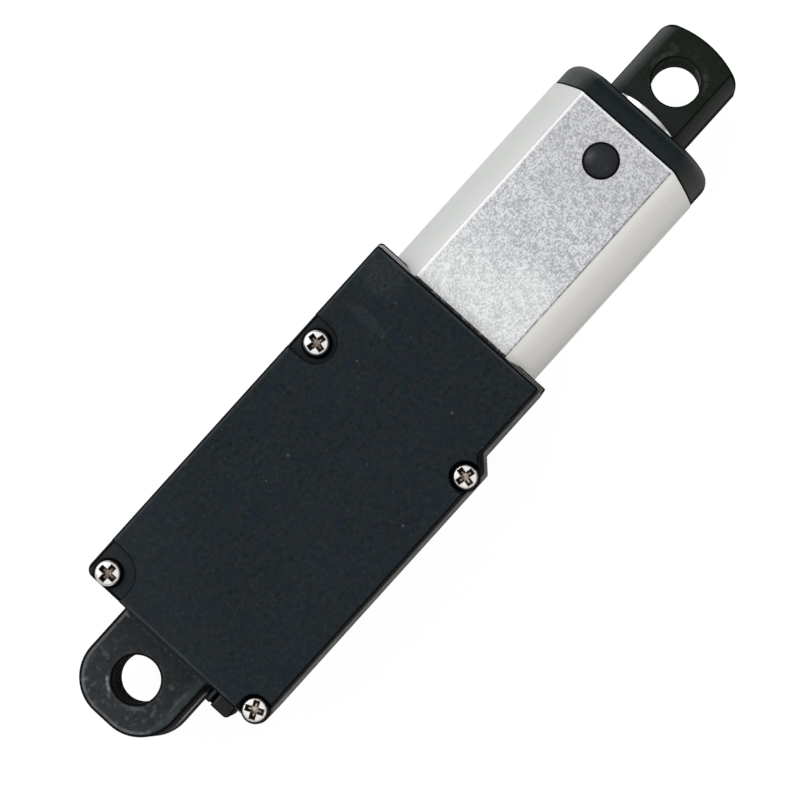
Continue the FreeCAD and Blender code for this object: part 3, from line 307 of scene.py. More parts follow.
def tongue_wear_and_painted_light(k, color, r):
    """The pivot tongue is greyer than the housing: paler towards its tip, paler patches, a rubbed outline and a rubbed
    hole rim, pale bands just inside the outline, painted glints and dark outlines. Painted shade darkens its flanks,
    its hole, the outlet rib and the rib's grooves, with a painted sheen along the -Y flank and a painted highlight on
    the rib's ridge; the parting rim carries a painted sheen, the front rim's +Y end a painted highlight, and a painted
    shadow rings each screw boss.
    """
    d = from_axis(k, 0.0, 0.0)
    on = k.step(k.x, 4.1, 3.2)
    # paler towards the tip and the +Y side, darker towards the housing
    paler_to_tip = k.line(k.add(k.mul(k.x, -0.075), k.mul(k.y, 0.020)), -0.26, 0.30, 0.0, 0.21)
    blot = k.mul(k.step(k.noise(0.62, 3.0, 0.6, seed=8.8), 0.50, 0.66), k.step(k.x, 3.6, -1.5, 0.08, 0.76))
    wash = k.mul(k.step(k.noise(1.6, 2.0, 0.5, seed=1.9), 0.46, 0.64), k.step(k.x, 3.6, -1.0, 0.04, 0.20))
    chips = k.mul(k.step(k.noise(0.40, 2.0, 0.6, seed=3.6), 0.58, 0.70), 0.9)
    rim = k.step(k.math("ABSOLUTE", k.math("SUBTRACT", d, 2.24)), 0.26, 0.06)
    side = k.step(k.math("ABSOLUTE", k.y), 4.10, 4.42)
    tip = k.step(k.math("SQRT", k.add(k.mul(k.math("ADD", k.x, 0.5), k.math("ADD", k.x, 0.5)), k.mul(k.y, k.y))), 3.50, 3.95)
    ahead = k.step(k.x, 1.0, -0.5)
    edge = k.mul(k.highest(rim, side, k.mul(tip, ahead)), k.line(k.noise(0.8, 3.0, 0.6, seed=6.4), 0.42, 0.66, 0.05, 0.9))
    upper = k.step(k.z, 1.8, 2.6)
    # the tip gradient, random paler patches and worn edges together
    worn = k.mul(on, upper, k.highest(paler_to_tip, blot, wash, k.mul(edge, chips), k.mul(edge, 0.45)))
    glint = k.highest(
        arc(k, d, 0.0, 0.0, 2.38, 0.15, 141.0, 20.0), k.mul(arc(k, d, 0.0, 0.0, 2.36, 0.18, 212.0, 28.0), 0.22),
        k.mul(spot(k, -2.93, 3.18, 0.30, 0.22), 0.45),
        k.mul(spot(k, -1.15, -2.85, 0.38, 0.20), 0.24),
        k.mul(spot(k, 1.45, -2.55, 0.30, 0.40), 0.18), k.mul(spot(k, 0.9, -3.75, 1.6, 0.14), 0.20))
    glint = k.mul(glint, upper, k.line(k.noise(0.22, 2.0, 0.6, seed=5.8), 0.32, 0.62, 0.35, 1.0))
    color = k.mix(worn, color, (0.080, 0.089, 0.100))
    shade = k.mul(on, upper, k.step(k.noise(0.50, 3.0, 0.6, seed=2.2), 0.50, 0.66), 0.65)
    color = k.mix(shade, color, (0.0060, 0.0070, 0.0085))
    color = k.mix(glint, color, (0.260, 0.270, 0.285))
    # a faint lighter line along the tongue's root, and a painted glint at its +Y corner
    root = k.highest(k.mul(k.step(k.math("ABSOLUTE", k.math("SUBTRACT", k.x, 3.40)), 0.24, 0.04), k.step(k.noise(0.30, 3.0, 0.6, seed=4.6), 0.46, 0.66), 0.22), k.mul(spot(k, 3.38, 4.25, 0.16, 0.62), 0.70))
    color = k.mix(k.mul(root, upper, k.step(k.z, 3.10, 3.00)), color, (0.150, 0.160, 0.165))
    e = tongue_edge(k)
    # a pale band just inside the outline, on the tip and the +Y side
    pale_edge_band = k.mul(on, upper, k.step(e, 0.19, 0.26), k.step(e, 0.52, 0.36), k.step(k.y, -3.9, -3.2))
    color = k.mix(k.mul(pale_edge_band, k.line(k.noise(0.9, 3.0, 0.6, seed=1.1), 0.36, 0.64, 0.30, 0.80)), color, (0.150, 0.157, 0.158))
    low = k.mul(on, upper, k.step(e, 0.24, 0.40), k.step(e, 1.10, 0.55), k.step(k.y, -3.2, -3.7))
    color = k.mix(k.mul(low, 0.32), color, (0.055, 0.078, 0.086))
    drawn = k.mul(on, k.step(k.z, 2.30, 2.55), k.highest(k.step(e, 0.25, 0.16), k.mul(k.step(e, 0.28, 0.14), k.step(k.y, -3.6, -4.0))))
    color = k.mix(drawn, color, (0.0004, 0.0004, 0.0004))
    flank = k.mul(k.step(e, 0.05, 0.01), k.step(k.y, -4.95, -4.90), k.step(k.x, 3.98, 3.88))
    band = k.math("ABSOLUTE", k.add(k.z, 0.10))
    # painted shade on the flanks: all over the +Y flank and the tip, and above and below a middle band on the -Y flank
    dark = k.mul(flank, k.highest(k.step(band, 0.55, 1.05), k.step(k.x, 0.2, -1.4), k.step(k.y, -2.0, -1.0)))
    color = k.mix(dark, color, (0.0004, 0.0004, 0.0004))
    # painted sheen along the middle of the -Y flank
    color = k.mix(k.mul(flank, k.step(band, 0.95, 0.15), k.step(k.x, -2.0, 0.0), k.step(k.y, -1.0, -2.0)), color, (0.185, 0.185, 0.174))
    # painted shade over the outlet rib
    rib = k.mul(k.step(k.y, -5.00, -5.06), k.step(k.y, -5.82, -5.78), k.step(k.x, 3.98, 3.88), k.step(k.z, 2.3, 2.15))
    color = k.mix(k.mul(rib, 0.5), color, (0.0060, 0.0066, 0.0070))
    # painted highlight along the ridge's top
    ridge = k.mul(rib, k.step(k.math("ABSOLUTE", k.add(k.y, 5.33)), 0.12, 0.04), k.step(k.x, 2.62, 2.85), k.step(k.z, 1.9, 2.05))
    color = k.mix(k.mul(ridge, 0.7), color, (0.075, 0.080, 0.084))
    # painted shade in the grooves beside the rib and at its end
    groove_shade = k.mul(rib, k.highest(k.step(k.y, -5.42, -5.48), k.step(k.y, -5.16, -5.11), k.step(k.x, 2.68, 2.60)))
    color = k.mix(k.mul(groove_shade, 0.95), color, (0.0004, 0.0004, 0.0004))
    r = k.math("SUBTRACT", r, k.mul(worn, 0.10))
    # painted shade: the hole's wall near black, a little lighter halfway down
    wall = k.step(d, 2.20, 2.13)
    color = k.mix(wall, color, (0.0005, 0.0005, 0.0005))
    color = k.mix(k.mul(wall, k.step(k.z, 2.65, 2.20), k.step(k.z, -0.9, 0.3)), color, (0.026, 0.028, 0.027))
    r = k.add(r, k.mul(k.highest(wall, drawn, dark, groove_shade), 0.6))
    # painted sheen on the lower shell's parting rim where it shows, along the lead side and at the front
    lip_sheen = k.mul(k.step(k.z, 4.10, 4.45), k.step(k.z, 5.18, 4.92), k.step(k.x, 3.6, 4.0), k.line(k.noise(1.4, 3.0, 0.6, seed=2.7), 0.35, 0.65, 0.55, 1.0))
    front = k.step(k.x, 38.95, 39.10)
    foot = k.mul(front, k.step(k.z, 4.82, 4.62))
    shown = k.mul(k.highest(k.step(k.y, -7.4, -8.0), front), k.math("SUBTRACT", 1.0, foot))
    color = k.mix(k.mul(lip_sheen, shown), color, (0.125, 0.128, 0.120))
    # painted highlight on the front rim's +Y end
    color = k.mix(k.mul(front, k.step(k.z, 4.70, 4.86), k.step(k.y, 4.2, 6.0), 0.85), color, (0.42, 0.42, 0.415))
    # the rest of the shell's upper wall near black
    plain = k.mul(k.step(k.z, 3.6, 4.0), k.step(k.x, 3.4, 3.6), k.math("SUBTRACT", 1.0, shown))
    color = k.mix(plain, color, (0.0005, 0.0005, 0.0006))
    r = k.add(r, k.mul(plain, 0.5))
    # painted shadow: a dark ring round each screw boss
    near = k.lowest(*[from_axis(k, a, b) for a, b, _ in SCREW_AXES])
    ring = k.step(near, 1.30, 1.16)
    color = k.mix(ring, color, (0.0006, 0.0006, 0.0007))
    return color, k.math("SUBTRACT", r, k.mul(lip_sheen, 0.08))


def eye_wear_and_painted_light(k, color, r):
    """Grey rub marks round the eye's hole and a darker rear flat; painted light on the round sides, more on the +Y
    side, with painted highlight bands there; painted shade on the lower round sides and along the -Y crease; the hole
    painted dark as shade, with paler places on its wall that are partly rub marks and partly painted light; dark
    outlines.
    """
    d = from_axis(k, 65.0, 0.0)
    top = k.step(k.math("ABSOLUTE", k.z), 2.5, 2.8)
    near = k.mul(k.step(d, 3.5, 2.3), k.step(d, 2.05, 2.12))
    rub = k.step(k.noise(0.45, 3.0, 0.6, seed=5.2), 0.50, 0.68)
    edge = k.step(k.math("ABSOLUTE", k.math("SUBTRACT", d, 2.14)), 0.14, 0.03)
    color = k.mix(k.mul(top, k.highest(k.mul(near, rub, 0.26), k.mul(edge, rub, 0.4))), color, (0.050, 0.058, 0.050))
    color = k.mix(k.mul(top, k.step(k.x, 64.2, 62.6), 0.9), color, (0.0125, 0.0160, 0.0150))
    # painted light: the +Y round side paler
    color = k.mix(k.mul(k.step(k.y, 2.55, 3.35), 0.85), color, (0.036, 0.042, 0.042))
    flecks = k.highest(
        k.mul(spot(k, 67.0, 1.95, 0.34, 0.62), 0.18), k.mul(spot(k, 67.35, -0.75, 0.30, 0.75), 0.08),
        k.mul(arc(k, d, 65.0, 0.0, 2.35, 0.26, 72.0, 34.0), 0.24), k.mul(arc(k, d, 65.0, 0.0, 2.40, 0.22, -52.0, 26.0), 0.20))
    flecks = k.mul(flecks, top, k.line(k.noise(0.30, 2.0, 0.6, seed=7.4), 0.36, 0.62, 0.15, 1.0))
    color = k.mix(flecks, color, (0.110, 0.125, 0.112))
    # painted light: the -Y round side paler too, less than the +Y side
    color = k.mix(k.mul(k.step(k.y, -2.86, -3.30), 0.85), color, (0.021, 0.025, 0.021))
    # painted shade along the -Y crease
    crease = k.mul(k.step(k.math("ABSOLUTE", k.add(k.y, 2.90)), 0.11, 0.04), k.step(k.x, 68.7, 68.2))
    color = k.mix(crease, color, (0.0004, 0.0004, 0.0004))
    # painted shade: the hole's wall dark, black on its near side
    wall = k.step(d, 2.14, 2.09)
    wall_mottle = k.line(k.noise(0.5, 3.0, 0.6, seed=8.1), 0.36, 0.64, 0.25, 1.0)
    ahead = k.step(k.x, 65.6, 66.4)
    color = k.mix(wall, color, k.mix(ahead, (0.0005, 0.0005, 0.0005), (0.0060, 0.0078, 0.0060)))
    # a paler wall over most of its height, patchy on the near side: partly rub marks, partly painted light
    color = k.mix(k.mul(wall, k.highest(wall_mottle, ahead), k.step(k.z, 2.74, 2.45), k.step(k.z, -2.45, -1.7)), color, (0.062, 0.074, 0.062))
    # a pale patch on the far wall toward the -Y side: partly rub marks, partly painted light
    wall_rub_and_light = k.mul(wall, ahead, k.step(k.y, -0.1, -0.8), k.step(k.y, -1.9, -1.3), k.step(k.z, -2.0, 0.5), k.step(k.z, 2.74, 2.20), k.highest(wall_mottle, 0.5))
    color = k.mix(wall_rub_and_light, color, (0.185, 0.200, 0.178))
    height = k.math("ABSOLUTE", k.z)
    tip = k.mul(k.step(height, 2.845, 2.80), k.step(from_axis(k, 60.47, 0.0), 8.34, 8.43))
    # painted highlight bands along the +Y round side
    color = k.mix(k.mul(k.step(k.math("ABSOLUTE", k.math("SUBTRACT", k.y, 3.55)), 0.34, 0.12), 0.40), color, (0.080, 0.088, 0.086))
    # painted shade on the lower round sides
    low = k.mul(k.step(k.math("ABSOLUTE", k.y), 2.80, 3.00), k.step(k.z, 1.3, 0.2))
    color = k.mix(low, color, (0.0016, 0.0022, 0.0018))
    side = k.mul(k.step(k.math("ABSOLUTE", k.y), 3.84, 3.95), 0.9)
    drawn = k.highest(tip, side)
    color = k.mix(drawn, color, (0.0005, 0.0005, 0.0005))
    return color, k.add(r, k.add(k.mul(k.highest(wall, drawn), 0.5), k.mul(crease, 0.3)))


def outlet_lines(k, color, r):
    """A painted highlight along the outlet block's inner edge and a dark outline."""
    # painted highlight along the block's inner top edge
    pale = k.mul(k.step(k.math("ABSOLUTE", k.add(k.y, 5.95)), 0.11, 0.04), k.step(k.x, 2.66, 2.95))
    color = k.mix(k.mul(pale, 0.55), color, (0.075, 0.080, 0.082))
    drawn = k.highest(k.step(k.x, 2.64, 2.56), k.step(k.y, -7.36, -7.44), k.step(k.y, -5.86, -5.81))
    color = k.mix(drawn, color, (0.0005, 0.0005, 0.0005))
    return color, k.add(r, k.mul(drawn, 0.5))


def cap_ends(k, color, r):
    """The cap's round ends are paler than its flat middle, painted light that is stronger on the +Y end, and painted
    shade darkens their lower part; a pale line runs near the front edge; its edges are dark.
    """
    patch = k.line(k.noise(1.3, 3.0, 0.6, seed=4.4), 0.35, 0.65, 0.75, 1.0)
    # painted light: the round ends paler, the +Y end more than the -Y end
    color = k.mix(k.mul(k.step(k.y, 4.5, 6.3), patch), color, (0.064, 0.072, 0.069))
    color = k.mix(k.mul(k.step(k.y, -4.6, -6.2), patch), color, (0.030, 0.031, 0.029))
    aside = k.math("ABSOLUTE", k.y)
    behind = k.math("SUBTRACT", k.x, k.line(aside, 4.95, 7.62, 59.17, 58.52))
    # painted shade on the lower part of the round ends
    low = k.mul(k.step(aside, 4.9, 5.3), k.step(k.z, 2.6, 1.0))
    color = k.mix(low, color, (0.0016, 0.0022, 0.0023))
    pale = k.step(k.math("ABSOLUTE", k.math("SUBTRACT", k.x, 60.92)), 0.13, 0.04)
    color = k.mix(k.mul(pale, 0.40), color, (0.060, 0.066, 0.068))
    drawn = k.highest(k.step(behind, 0.21, 0.10), k.step(k.x, 61.06, 61.14), k.step(aside, 7.27, 7.36))
    color = k.mix(drawn, color, (0.0005, 0.0005, 0.0007))
    return color, k.add(r, k.mul(drawn, 0.5))


def stud_edge(k, color, r):
    """The stud's edge is darker than its crown, as painted shade; the crown carries two small painted highlights."""
    d = from_axis(k, 55.99, 0.0)
    # painted highlights on the domed crown
    flecks = k.highest(k.mul(spot(k, 55.62, 0.92, 0.30, 0.22), 0.30), k.mul(spot(k, 55.85, -0.78, 0.22, 0.16), 0.22))
    color = k.mix(k.mul(flecks, k.line(k.noise(0.20, 2.0, 0.6, seed=3.9), 0.34, 0.62, 0.2, 1.0)), color, (0.150, 0.160, 0.175))
    # painted shade round the dome's steep edge
    rim = k.step(d, 1.24, 1.40)
    color = k.mix(rim, color, (0.0004, 0.0004, 0.0005))
    return color, k.add(r, k.mul(rim, 0.7))


MATS = {}
MATS["cover_black"] = moulded("cover_black", (0.0006, 0.0022, 0.0030), (0.0174, 0.0270, 0.0342), 0.17, 0.010, 0.58, 0.15, specks=0.7, hues=1.0, extra=cover_wear_and_painted_light)
MATS["housing_black"] = moulded("housing_black", (0.0016, 0.0028, 0.0038), (0.0110, 0.0142, 0.0170), 0.16, 0.008, 0.46, 0.22, hues=0.4, extra=tongue_wear_and_painted_light)
MATS["cap_black"] = moulded("cap_black", (0.0026, 0.0070, 0.0076), (0.0108, 0.0184, 0.0200), 0.15, 0.005, 0.42, 0.15, specks=0.25, marks=0.2, hues=0.3, extra=cap_ends)
MATS["eye_black"] = moulded("eye_black", (0.0014, 0.0052, 0.0010), (0.0082, 0.0140, 0.0078), 0.15, 0.006, 0.42, 0.12, specks=0.3, marks=0.4, extra=eye_wear_and_painted_light)
MATS["stud_black"] = moulded("stud_black", (0.0165, 0.0185, 0.0222), (0.0270, 0.0292, 0.0345), 0.10, 0.003, 0.26, 0.16, specks=0.6, marks=0.3, extra=stud_edge)
MATS["outlet_black"] = moulded("outlet_black", (0.0040, 0.0050, 0.0056), (0.0200, 0.0225, 0.0240), 0.16, 0.010, 0.50, 0.24, hues=0.3, extra=outlet_lines)
MATS["seal_rubber"] = moulded("seal_rubber", (0.0060, 0.0060, 0.0062), (0.0130, 0.0130, 0.0132), 0.12, 0.006, 0.70, 0.20, marks=0.1)


# ---------------------------------------------------------------- aluminium tube
def aluminium():
    k = Look("tube_aluminium", Metallic=1.0)
    flat = k.step(k.math("ABSOLUTE", k.z), 5.690, 5.745)
    # blasted flats: bright and dark dents about 0.3 mm across
    n1 = k.noise(0.19, 2.0, 0.55, seed=1.7)
    n2 = k.noise(0.42, 2.0, 0.55, seed=2.4)
    grit = k.add(k.mul(n1, 0.66), k.mul(n2, 0.34))
    calm = k.step(k.add(k.x, k.mul(k.noise(5.0, 2.0, 0.5, seed=5.5), 7.0)), 51.3, 46.7)
    shade = k.line(grit, 0.405, 0.595)
    rough_tone = k.mix(shade, (0.43, 0.44, 0.46), (0.80, 0.805, 0.825))
    rough_tone = k.mix(k.step(k.x, 49.0, 56.0, 0.0, 0.14), rough_tone, (0.27, 0.262, 0.28))
    calm_tone = k.mix(shade, (0.605, 0.615, 0.622), (0.895, 0.902, 0.908))
    flat_tone = k.mix(calm, rough_tone, calm_tone)
    # the two creases beside a flat: a painted highlight on one, painted shade on the lead-side one
    fleck = k.line(k.noise(0.30, 2.0, 0.6, seed=8.1), 0.35, 0.65, 0.35, 1.0)
    bright = k.step(k.math("ABSOLUTE", k.math("SUBTRACT", k.y, 4.72)), 0.15, 0.05)
    shaded_crease = k.mul(k.step(k.math("ABSOLUTE", k.add(k.y, 4.78)), 0.13, 0.04), fleck)
    flat_tone = k.mix(k.mul(bright, 0.9), flat_tone, (0.97, 0.97, 0.97))
    flat_tone = k.mix(k.mul(shaded_crease, 0.75), flat_tone, (0.12, 0.115, 0.11))
    flat_tone = k.mix(k.mul(k.step(k.x, 58.90, 59.02), 0.65), flat_tone, (0.97, 0.97, 0.97))
    # painted shadow where the housing ends
    painted_shade = k.mul(k.step(k.x, 39.42, 39.35), k.line(fleck, 0.35, 0.7, 0.75, 1.0))
    flat_tone = k.mix(k.mul(painted_shade, 0.95), flat_tone, (0.012, 0.012, 0.012))
    # drawn sides: smooth, with faint long streaks; the lead side a little darker and yellower, painted shade
    streak = k.noise(1.0, 2.0, 0.6, at=k.place(scale=(0.035, 3.0, 3.0)), seed=3.3)
    side_tone = k.mix(k.line(streak, 0.3, 0.7), (0.846, 0.862, 0.846), (0.878, 0.892, 0.876))
    shaded_side_tone = k.mix(k.line(streak, 0.3, 0.7), (0.824, 0.812, 0.786), (0.855, 0.845, 0.817))
    side_tone = k.mix(k.step(k.y, 1.0, -1.0), side_tone, shaded_side_tone)
    color = k.mix(flat, side_tone, flat_tone)
    r_flat = k.line(n1, 0.25, 0.75, 0.40, 0.54)
    r_side = k.line(streak, 0.25, 0.75, 0.40, 0.46)
    rough = k.add(k.mul(flat, r_flat), k.mul(k.math("SUBTRACT", 1.0, flat), r_side))
    h = k.add(k.mul(grit, flat), k.mul(streak, 0.03))
    return k.done(color, rough, k.bump(h, 0.026))


MATS["tube_aluminium"] = aluminium()


# ---------------------------------------------------------------- bare metals
def metal(name, dark, light, rough, spread, grain=(1, 1, 1), size=0.25, depth=0.003, stain=None, stain_share=0.25, seed=1.0, extra=None):
    k = Look(name, Metallic=1.0)
    at = k.place(scale=grain)
    fine = k.noise(size, 3.0, 0.6, at=at, seed=seed)
    cloud = k.noise(2.2, 3.0, 0.55, seed=seed + 3.0)
    color = k.mix(k.math("ADD", k.line(fine, 0.3, 0.7, 0.0, 0.7), k.line(cloud, 0.3, 0.7, 0.0, 0.3), clamp=True), dark, light)
    if stain is not None:
        spot = k.mul(k.step(k.noise(0.7, 4.0, 0.65, seed=seed + 5.0), 0.50, 0.72), stain_share)
        color = k.mix(spot, color, stain)
    if extra is not None:
        color = extra(k, color)
    r = k.add(k.line(fine, 0.2, 0.8, rough - spread, rough + spread), k.line(cloud, 0.3, 0.7, -0.03, 0.05))
    return k.done(color, r, k.bump(fine, depth))


def collar_tone(k, color):
    """The rod's collar is duller than the rod; the extra darkening toward the lead side is painted shade."""
    on = k.mul(k.step(k.x, 61.22, 61.34), k.step(k.x, 61.90, 61.78))
    return k.mix(k.mul(on, k.step(k.y, 1.2, -1.6, 0.14, 0.50)), color, (0.40, 0.40, 0.405))


def nickel_screws():
    """Bright heads with painted shade at the rim, and cross recesses whose brown edges show."""
    k = Look("screw_nickel", Metallic=1.0)
    away, edges, arms = [], [], []
    for a, b, turn in SCREW_AXES:
        c, n = math.cos(math.radians(turn)), math.sin(math.radians(turn))
        dx, dy = k.math("SUBTRACT", k.x, a), k.math("SUBTRACT", k.y, b)
        u = k.math("ABSOLUTE", k.add(k.mul(dx, c), k.mul(dy, n)))
        v = k.math("ABSOLUTE", k.math("SUBTRACT", k.mul(dy, c), k.mul(dx, n)))
        far, near = k.highest(u, v), k.lowest(u, v)
        r = k.math("SQRT", k.add(k.mul(u, u), k.mul(v, v)))
        away.append(r)
        arms.append(k.mul(k.step(near, 0.24, 0.18), k.step(far, 0.79, 0.73)))
        edges.append(k.highest(
            k.mul(k.step(k.math("ABSOLUTE", k.math("SUBTRACT", near, 0.175)), 0.115, 0.075), k.step(far, 0.82, 0.75), k.step(far, 0.20, 0.26)),
            k.mul(k.step(k.math("ABSOLUTE", k.math("SUBTRACT", far, 0.70)), 0.125, 0.075), k.step(near, 0.29, 0.23))))
    r, edge, arm = k.lowest(*away), k.highest(*edges), k.highest(*arms)
    below = k.math("SUBTRACT", k.math("SUBTRACT", 7.0, k.mul(k.mul(r, r), 0.085)), k.z)
    bottom = k.mul(k.step(below, 0.30, 0.50), arm)
    fine = k.noise(0.10, 2.0, 0.6, seed=2.2)
    cloud = k.noise(0.5, 3.0, 0.6, seed=7.7)
    face = k.mix(k.line(fine, 0.3, 0.7), (0.86, 0.85, 0.83), (0.96, 0.95, 0.93))
    face = k.mix(k.mul(k.step(cloud, 0.58, 0.75), 0.25), face, (0.55, 0.50, 0.44))
    stain = k.mix(k.line(cloud, 0.35, 0.65), (0.012, 0.007, 0.006), (0.050, 0.026, 0.018))
    floor_tone = k.mix(k.line(cloud, 0.40, 0.60), (0.15, 0.11, 0.085), k.mix(k.step(k.y, 1.0, -1.0), (0.34, 0.28, 0.25), (0.60, 0.53, 0.44)))
    color = k.mix(bottom, k.mix(k.mul(arm, k.step(below, 0.03, 0.10)), face, stain), floor_tone)
    color = k.mix(k.mul(edge, 0.96), color, stain)
    # painted shade on the head's rounded rim, wider on the lead-side screws
    start = k.step(k.y, 0.0, -1.0, 0.98, 0.92)
    rim = k.step(k.math("SUBTRACT", r, start), 0.0, 0.07)
    color = k.mix(rim, color, (0.014, 0.013, 0.012))
    rough = k.math("ADD", k.line(fine, 0.2, 0.8, 0.26, 0.38), k.mul(k.highest(edge, rim), 0.25), clamp=True)
    return k.done(color, rough, k.bump(fine, 0.003))


MATS["screw_nickel"] = nickel_screws()
MATS["rod_steel"] = metal("rod_steel", (0.90, 0.90, 0.90), (0.96, 0.96, 0.95), 0.20, 0.03, grain=(6.0, 1.0, 1.0), size=0.5, depth=0.002, extra=collar_tone)
MATS["motor_steel"] = metal("motor_steel", (0.55, 0.55, 0.54), (0.70, 0.70, 0.69), 0.30, 0.06, size=0.4, stain=(0.30, 0.28, 0.25), stain_share=0.2)
MATS["plain_steel"] = metal("plain_steel", (0.50, 0.50, 0.50), (0.66, 0.66, 0.66), 0.28, 0.06, size=0.3)
MATS["lamination_steel"] = metal("lamination_steel", (0.24, 0.24, 0.25), (0.42, 0.42, 0.43), 0.42, 0.06, grain=(9.0, 0.3, 0.3), size=0.8, depth=0.010)
MATS["bronze"] = metal("bronze", (0.40, 0.24, 0.10), (0.58, 0.37, 0.17), 0.42, 0.07, size=0.18, stain=(0.20, 0.12, 0.06))
MATS["gear_brass"] = metal("gear_brass", (0.66, 0.46, 0.18), (0.83, 0.62, 0.28), 0.26, 0.05, size=0.25, stain=(0.42, 0.27, 0.10))
MATS["copper"] = metal("copper", (0.66, 0.30, 0.16), (0.85, 0.43, 0.25), 0.28, 0.06, size=0.2, stain=(0.38, 0.16, 0.08))


def solid(name, dark, light, rough, shine, size=0.3, depth=0.006, specks=None):
    k = Look(name, Specular_IOR_Level=shine)
    fine = k.noise(size, 3.0, 0.6, seed=2.0)
    cloud = k.noise(1.8, 3.0, 0.5, seed=5.0)
    color = k.mix(k.math("ADD", k.line(fine, 0.3, 0.7, 0.0, 0.6), k.line(cloud, 0.3, 0.7, 0.0, 0.4), clamp=True), dark, light)
    if specks is not None:
        color = k.mix(k.mul(k.dots(0.4, 0.05, 0.3, 3.0), 0.7), color, specks)
    return k.done(color, k.line(fine, 0.2, 0.8, rough - 0.07, rough + 0.07), k.bump(fine, depth))


MATS["motor_plastic"] = solid("motor_plastic", (0.70, 0.69, 0.64), (0.80, 0.79, 0.74), 0.45, 0.45)
MATS["ferrite"] = solid("ferrite", (0.030, 0.030, 0.032), (0.060, 0.060, 0.063), 0.60, 0.40, specks=(0.16, 0.16, 0.17))
MATS["carbon"] = solid("carbon", (0.025, 0.025, 0.026), (0.050, 0.050, 0.051), 0.50, 0.50, size=0.1)
MATS["nut_plastic"] = solid("nut_plastic", (0.76, 0.75, 0.70), (0.86, 0.85, 0.80), 0.40, 0.45)
MATS["diode_black"] = solid("diode_black", (0.020, 0.020, 0.021), (0.038, 0.038, 0.039), 0.45, 0.45, size=0.1)
MATS["cage_nylon"] = solid("cage_nylon", (0.62, 0.56, 0.42), (0.74, 0.68, 0.54), 0.42, 0.45, size=0.15)
MATS["lead_black"] = solid("lead_black", (0.014, 0.014, 0.015), (0.026, 0.026, 0.027), 0.40, 0.45, size=0.2)
MATS["lead_red"] = solid("lead_red", (0.42, 0.022, 0.018), (0.58, 0.040, 0.030), 0.38, 0.45, size=0.2)


def board():
    """Green lacquered board, with the glass weave showing faintly."""
    k = Look("board_green", Specular_IOR_Level=0.5)
    wx = k.math("SINE", k.mul(k.x, 2 * math.pi / 0.42))
    wy = k.math("SINE", k.mul(k.y, 2 * math.pi / 0.42))
    weave = k.line(k.mul(wx, wy), -1.0, 1.0)
    cloud = k.noise(1.5, 3.0, 0.5, seed=4.0)
    color = k.mix(k.math("ADD", k.mul(weave, 0.5), k.line(cloud, 0.3, 0.7, 0.0, 0.5), clamp=True), (0.010, 0.095, 0.035), (0.022, 0.160, 0.062))
    return k.done(color, k.line(cloud, 0.3, 0.7, 0.24, 0.36), k.bump(weave, 0.006))


MATS["board_green"] = board()


# ---------------------------------------------------------------- finishes on the CAD pieces
FINISH = {
    "gear_housing": "housing_black", "housing_cover": "cover_black", "cover_screws": "screw_nickel", "cable_grommet": "outlet_black",
    "outer_tube": "tube_aluminium", "front_cap": "cap_black", "cap_lock_studs": "stud_black", "rod_seal": "seal_rubber",
    "motor_can": "motor_steel", "motor_end_cap": "motor_plastic", "motor_terminals": "copper", "motor_magnets": "ferrite",
    "motor_brushes": "carbon", "motor_bushes": "bronze", "gear_plate_rear": "gear_brass", "gear_plate_front": "gear_brass",
    "gear_spacers": "gear_brass", "gear_plate_screws": "plain_steel", "gear_arbors": "plain_steel", "bearing_outer_ring": "plain_steel",
    "limit_board": "board_green", "board_tracks": "copper", "limit_diodes": "diode_black", "motor_lead_black": "lead_black",
    "motor_lead_red": "lead_red", "push_rod": "rod_steel", "rod_end": "eye_black", "travelling_nut": "nut_plastic",
    "wiper_contact": "copper", "lead_screw": "plain_steel", "output_gear": "gear_brass", "bearing_inner_ring": "plain_steel",
    "screw_clip": "plain_steel", "bearing_balls": "plain_steel", "bearing_cage": "cage_nylon", "compound_gear_1": "gear_brass",
    "compound_gear_2": "gear_brass", "motor_shaft": "plain_steel", "armature_core": "lamination_steel",
    "armature_windings": "copper", "commutator": "copper", "motor_pinion": "gear_brass",
}
for name, obj in NODES.items():
    obj.data.materials.clear()
    obj.data.materials.append(MATS[FINISH[name]])


# ---------------------------------------------------------------- floor, light, camera
FLOOR_Z = CAD_BOX[0].z


def floor():
    mesh = bpy.data.meshes.new("floor")
    s = 1.2
    mesh.from_pydata([(-s, -s, FLOOR_Z), (s, -s, FLOOR_Z), (s, s, FLOOR_Z), (-s, s, FLOOR_Z)], [], [(0, 1, 2, 3)])
    obj = bpy.data.objects.new("floor", mesh)
    bpy.context.scene.collection.objects.link(obj)
    m = bpy.data.materials.new("floor_white")
    m.use_nodes = True
    nt = m.node_tree
    nt.nodes.clear()
    out = nt.nodes.new("ShaderNodeOutputMaterial")
    matte = nt.nodes.new("ShaderNodeBsdfDiffuse")
    matte.inputs["Color"].default_value = (0.80, 0.80, 0.80, 1)
    faint = nt.nodes.new("ShaderNodeBsdfDiffuse")
    faint.inputs["Color"].default_value = (0.10, 0.10, 0.10, 1)
    glow = nt.nodes.new("ShaderNodeEmission")
    glow.inputs["Strength"].default_value = 0.95
    both = nt.nodes.new("ShaderNodeAddShader")
    nt.links.new(faint.outputs[0], both.inputs[0])
    nt.links.new(glow.outputs[0], both.inputs[1])
    path = nt.nodes.new("ShaderNodeLightPath")
    mix = nt.nodes.new("ShaderNodeMixShader")
    nt.links.new(path.outputs["Is Camera Ray"], mix.inputs[0])
    nt.links.new(matte.outputs[0], mix.inputs[1])
    nt.links.new(both.outputs[0], mix.inputs[2])
    nt.links.new(mix.outputs[0], out.inputs[0])
    mesh.materials.append(m)


floor()


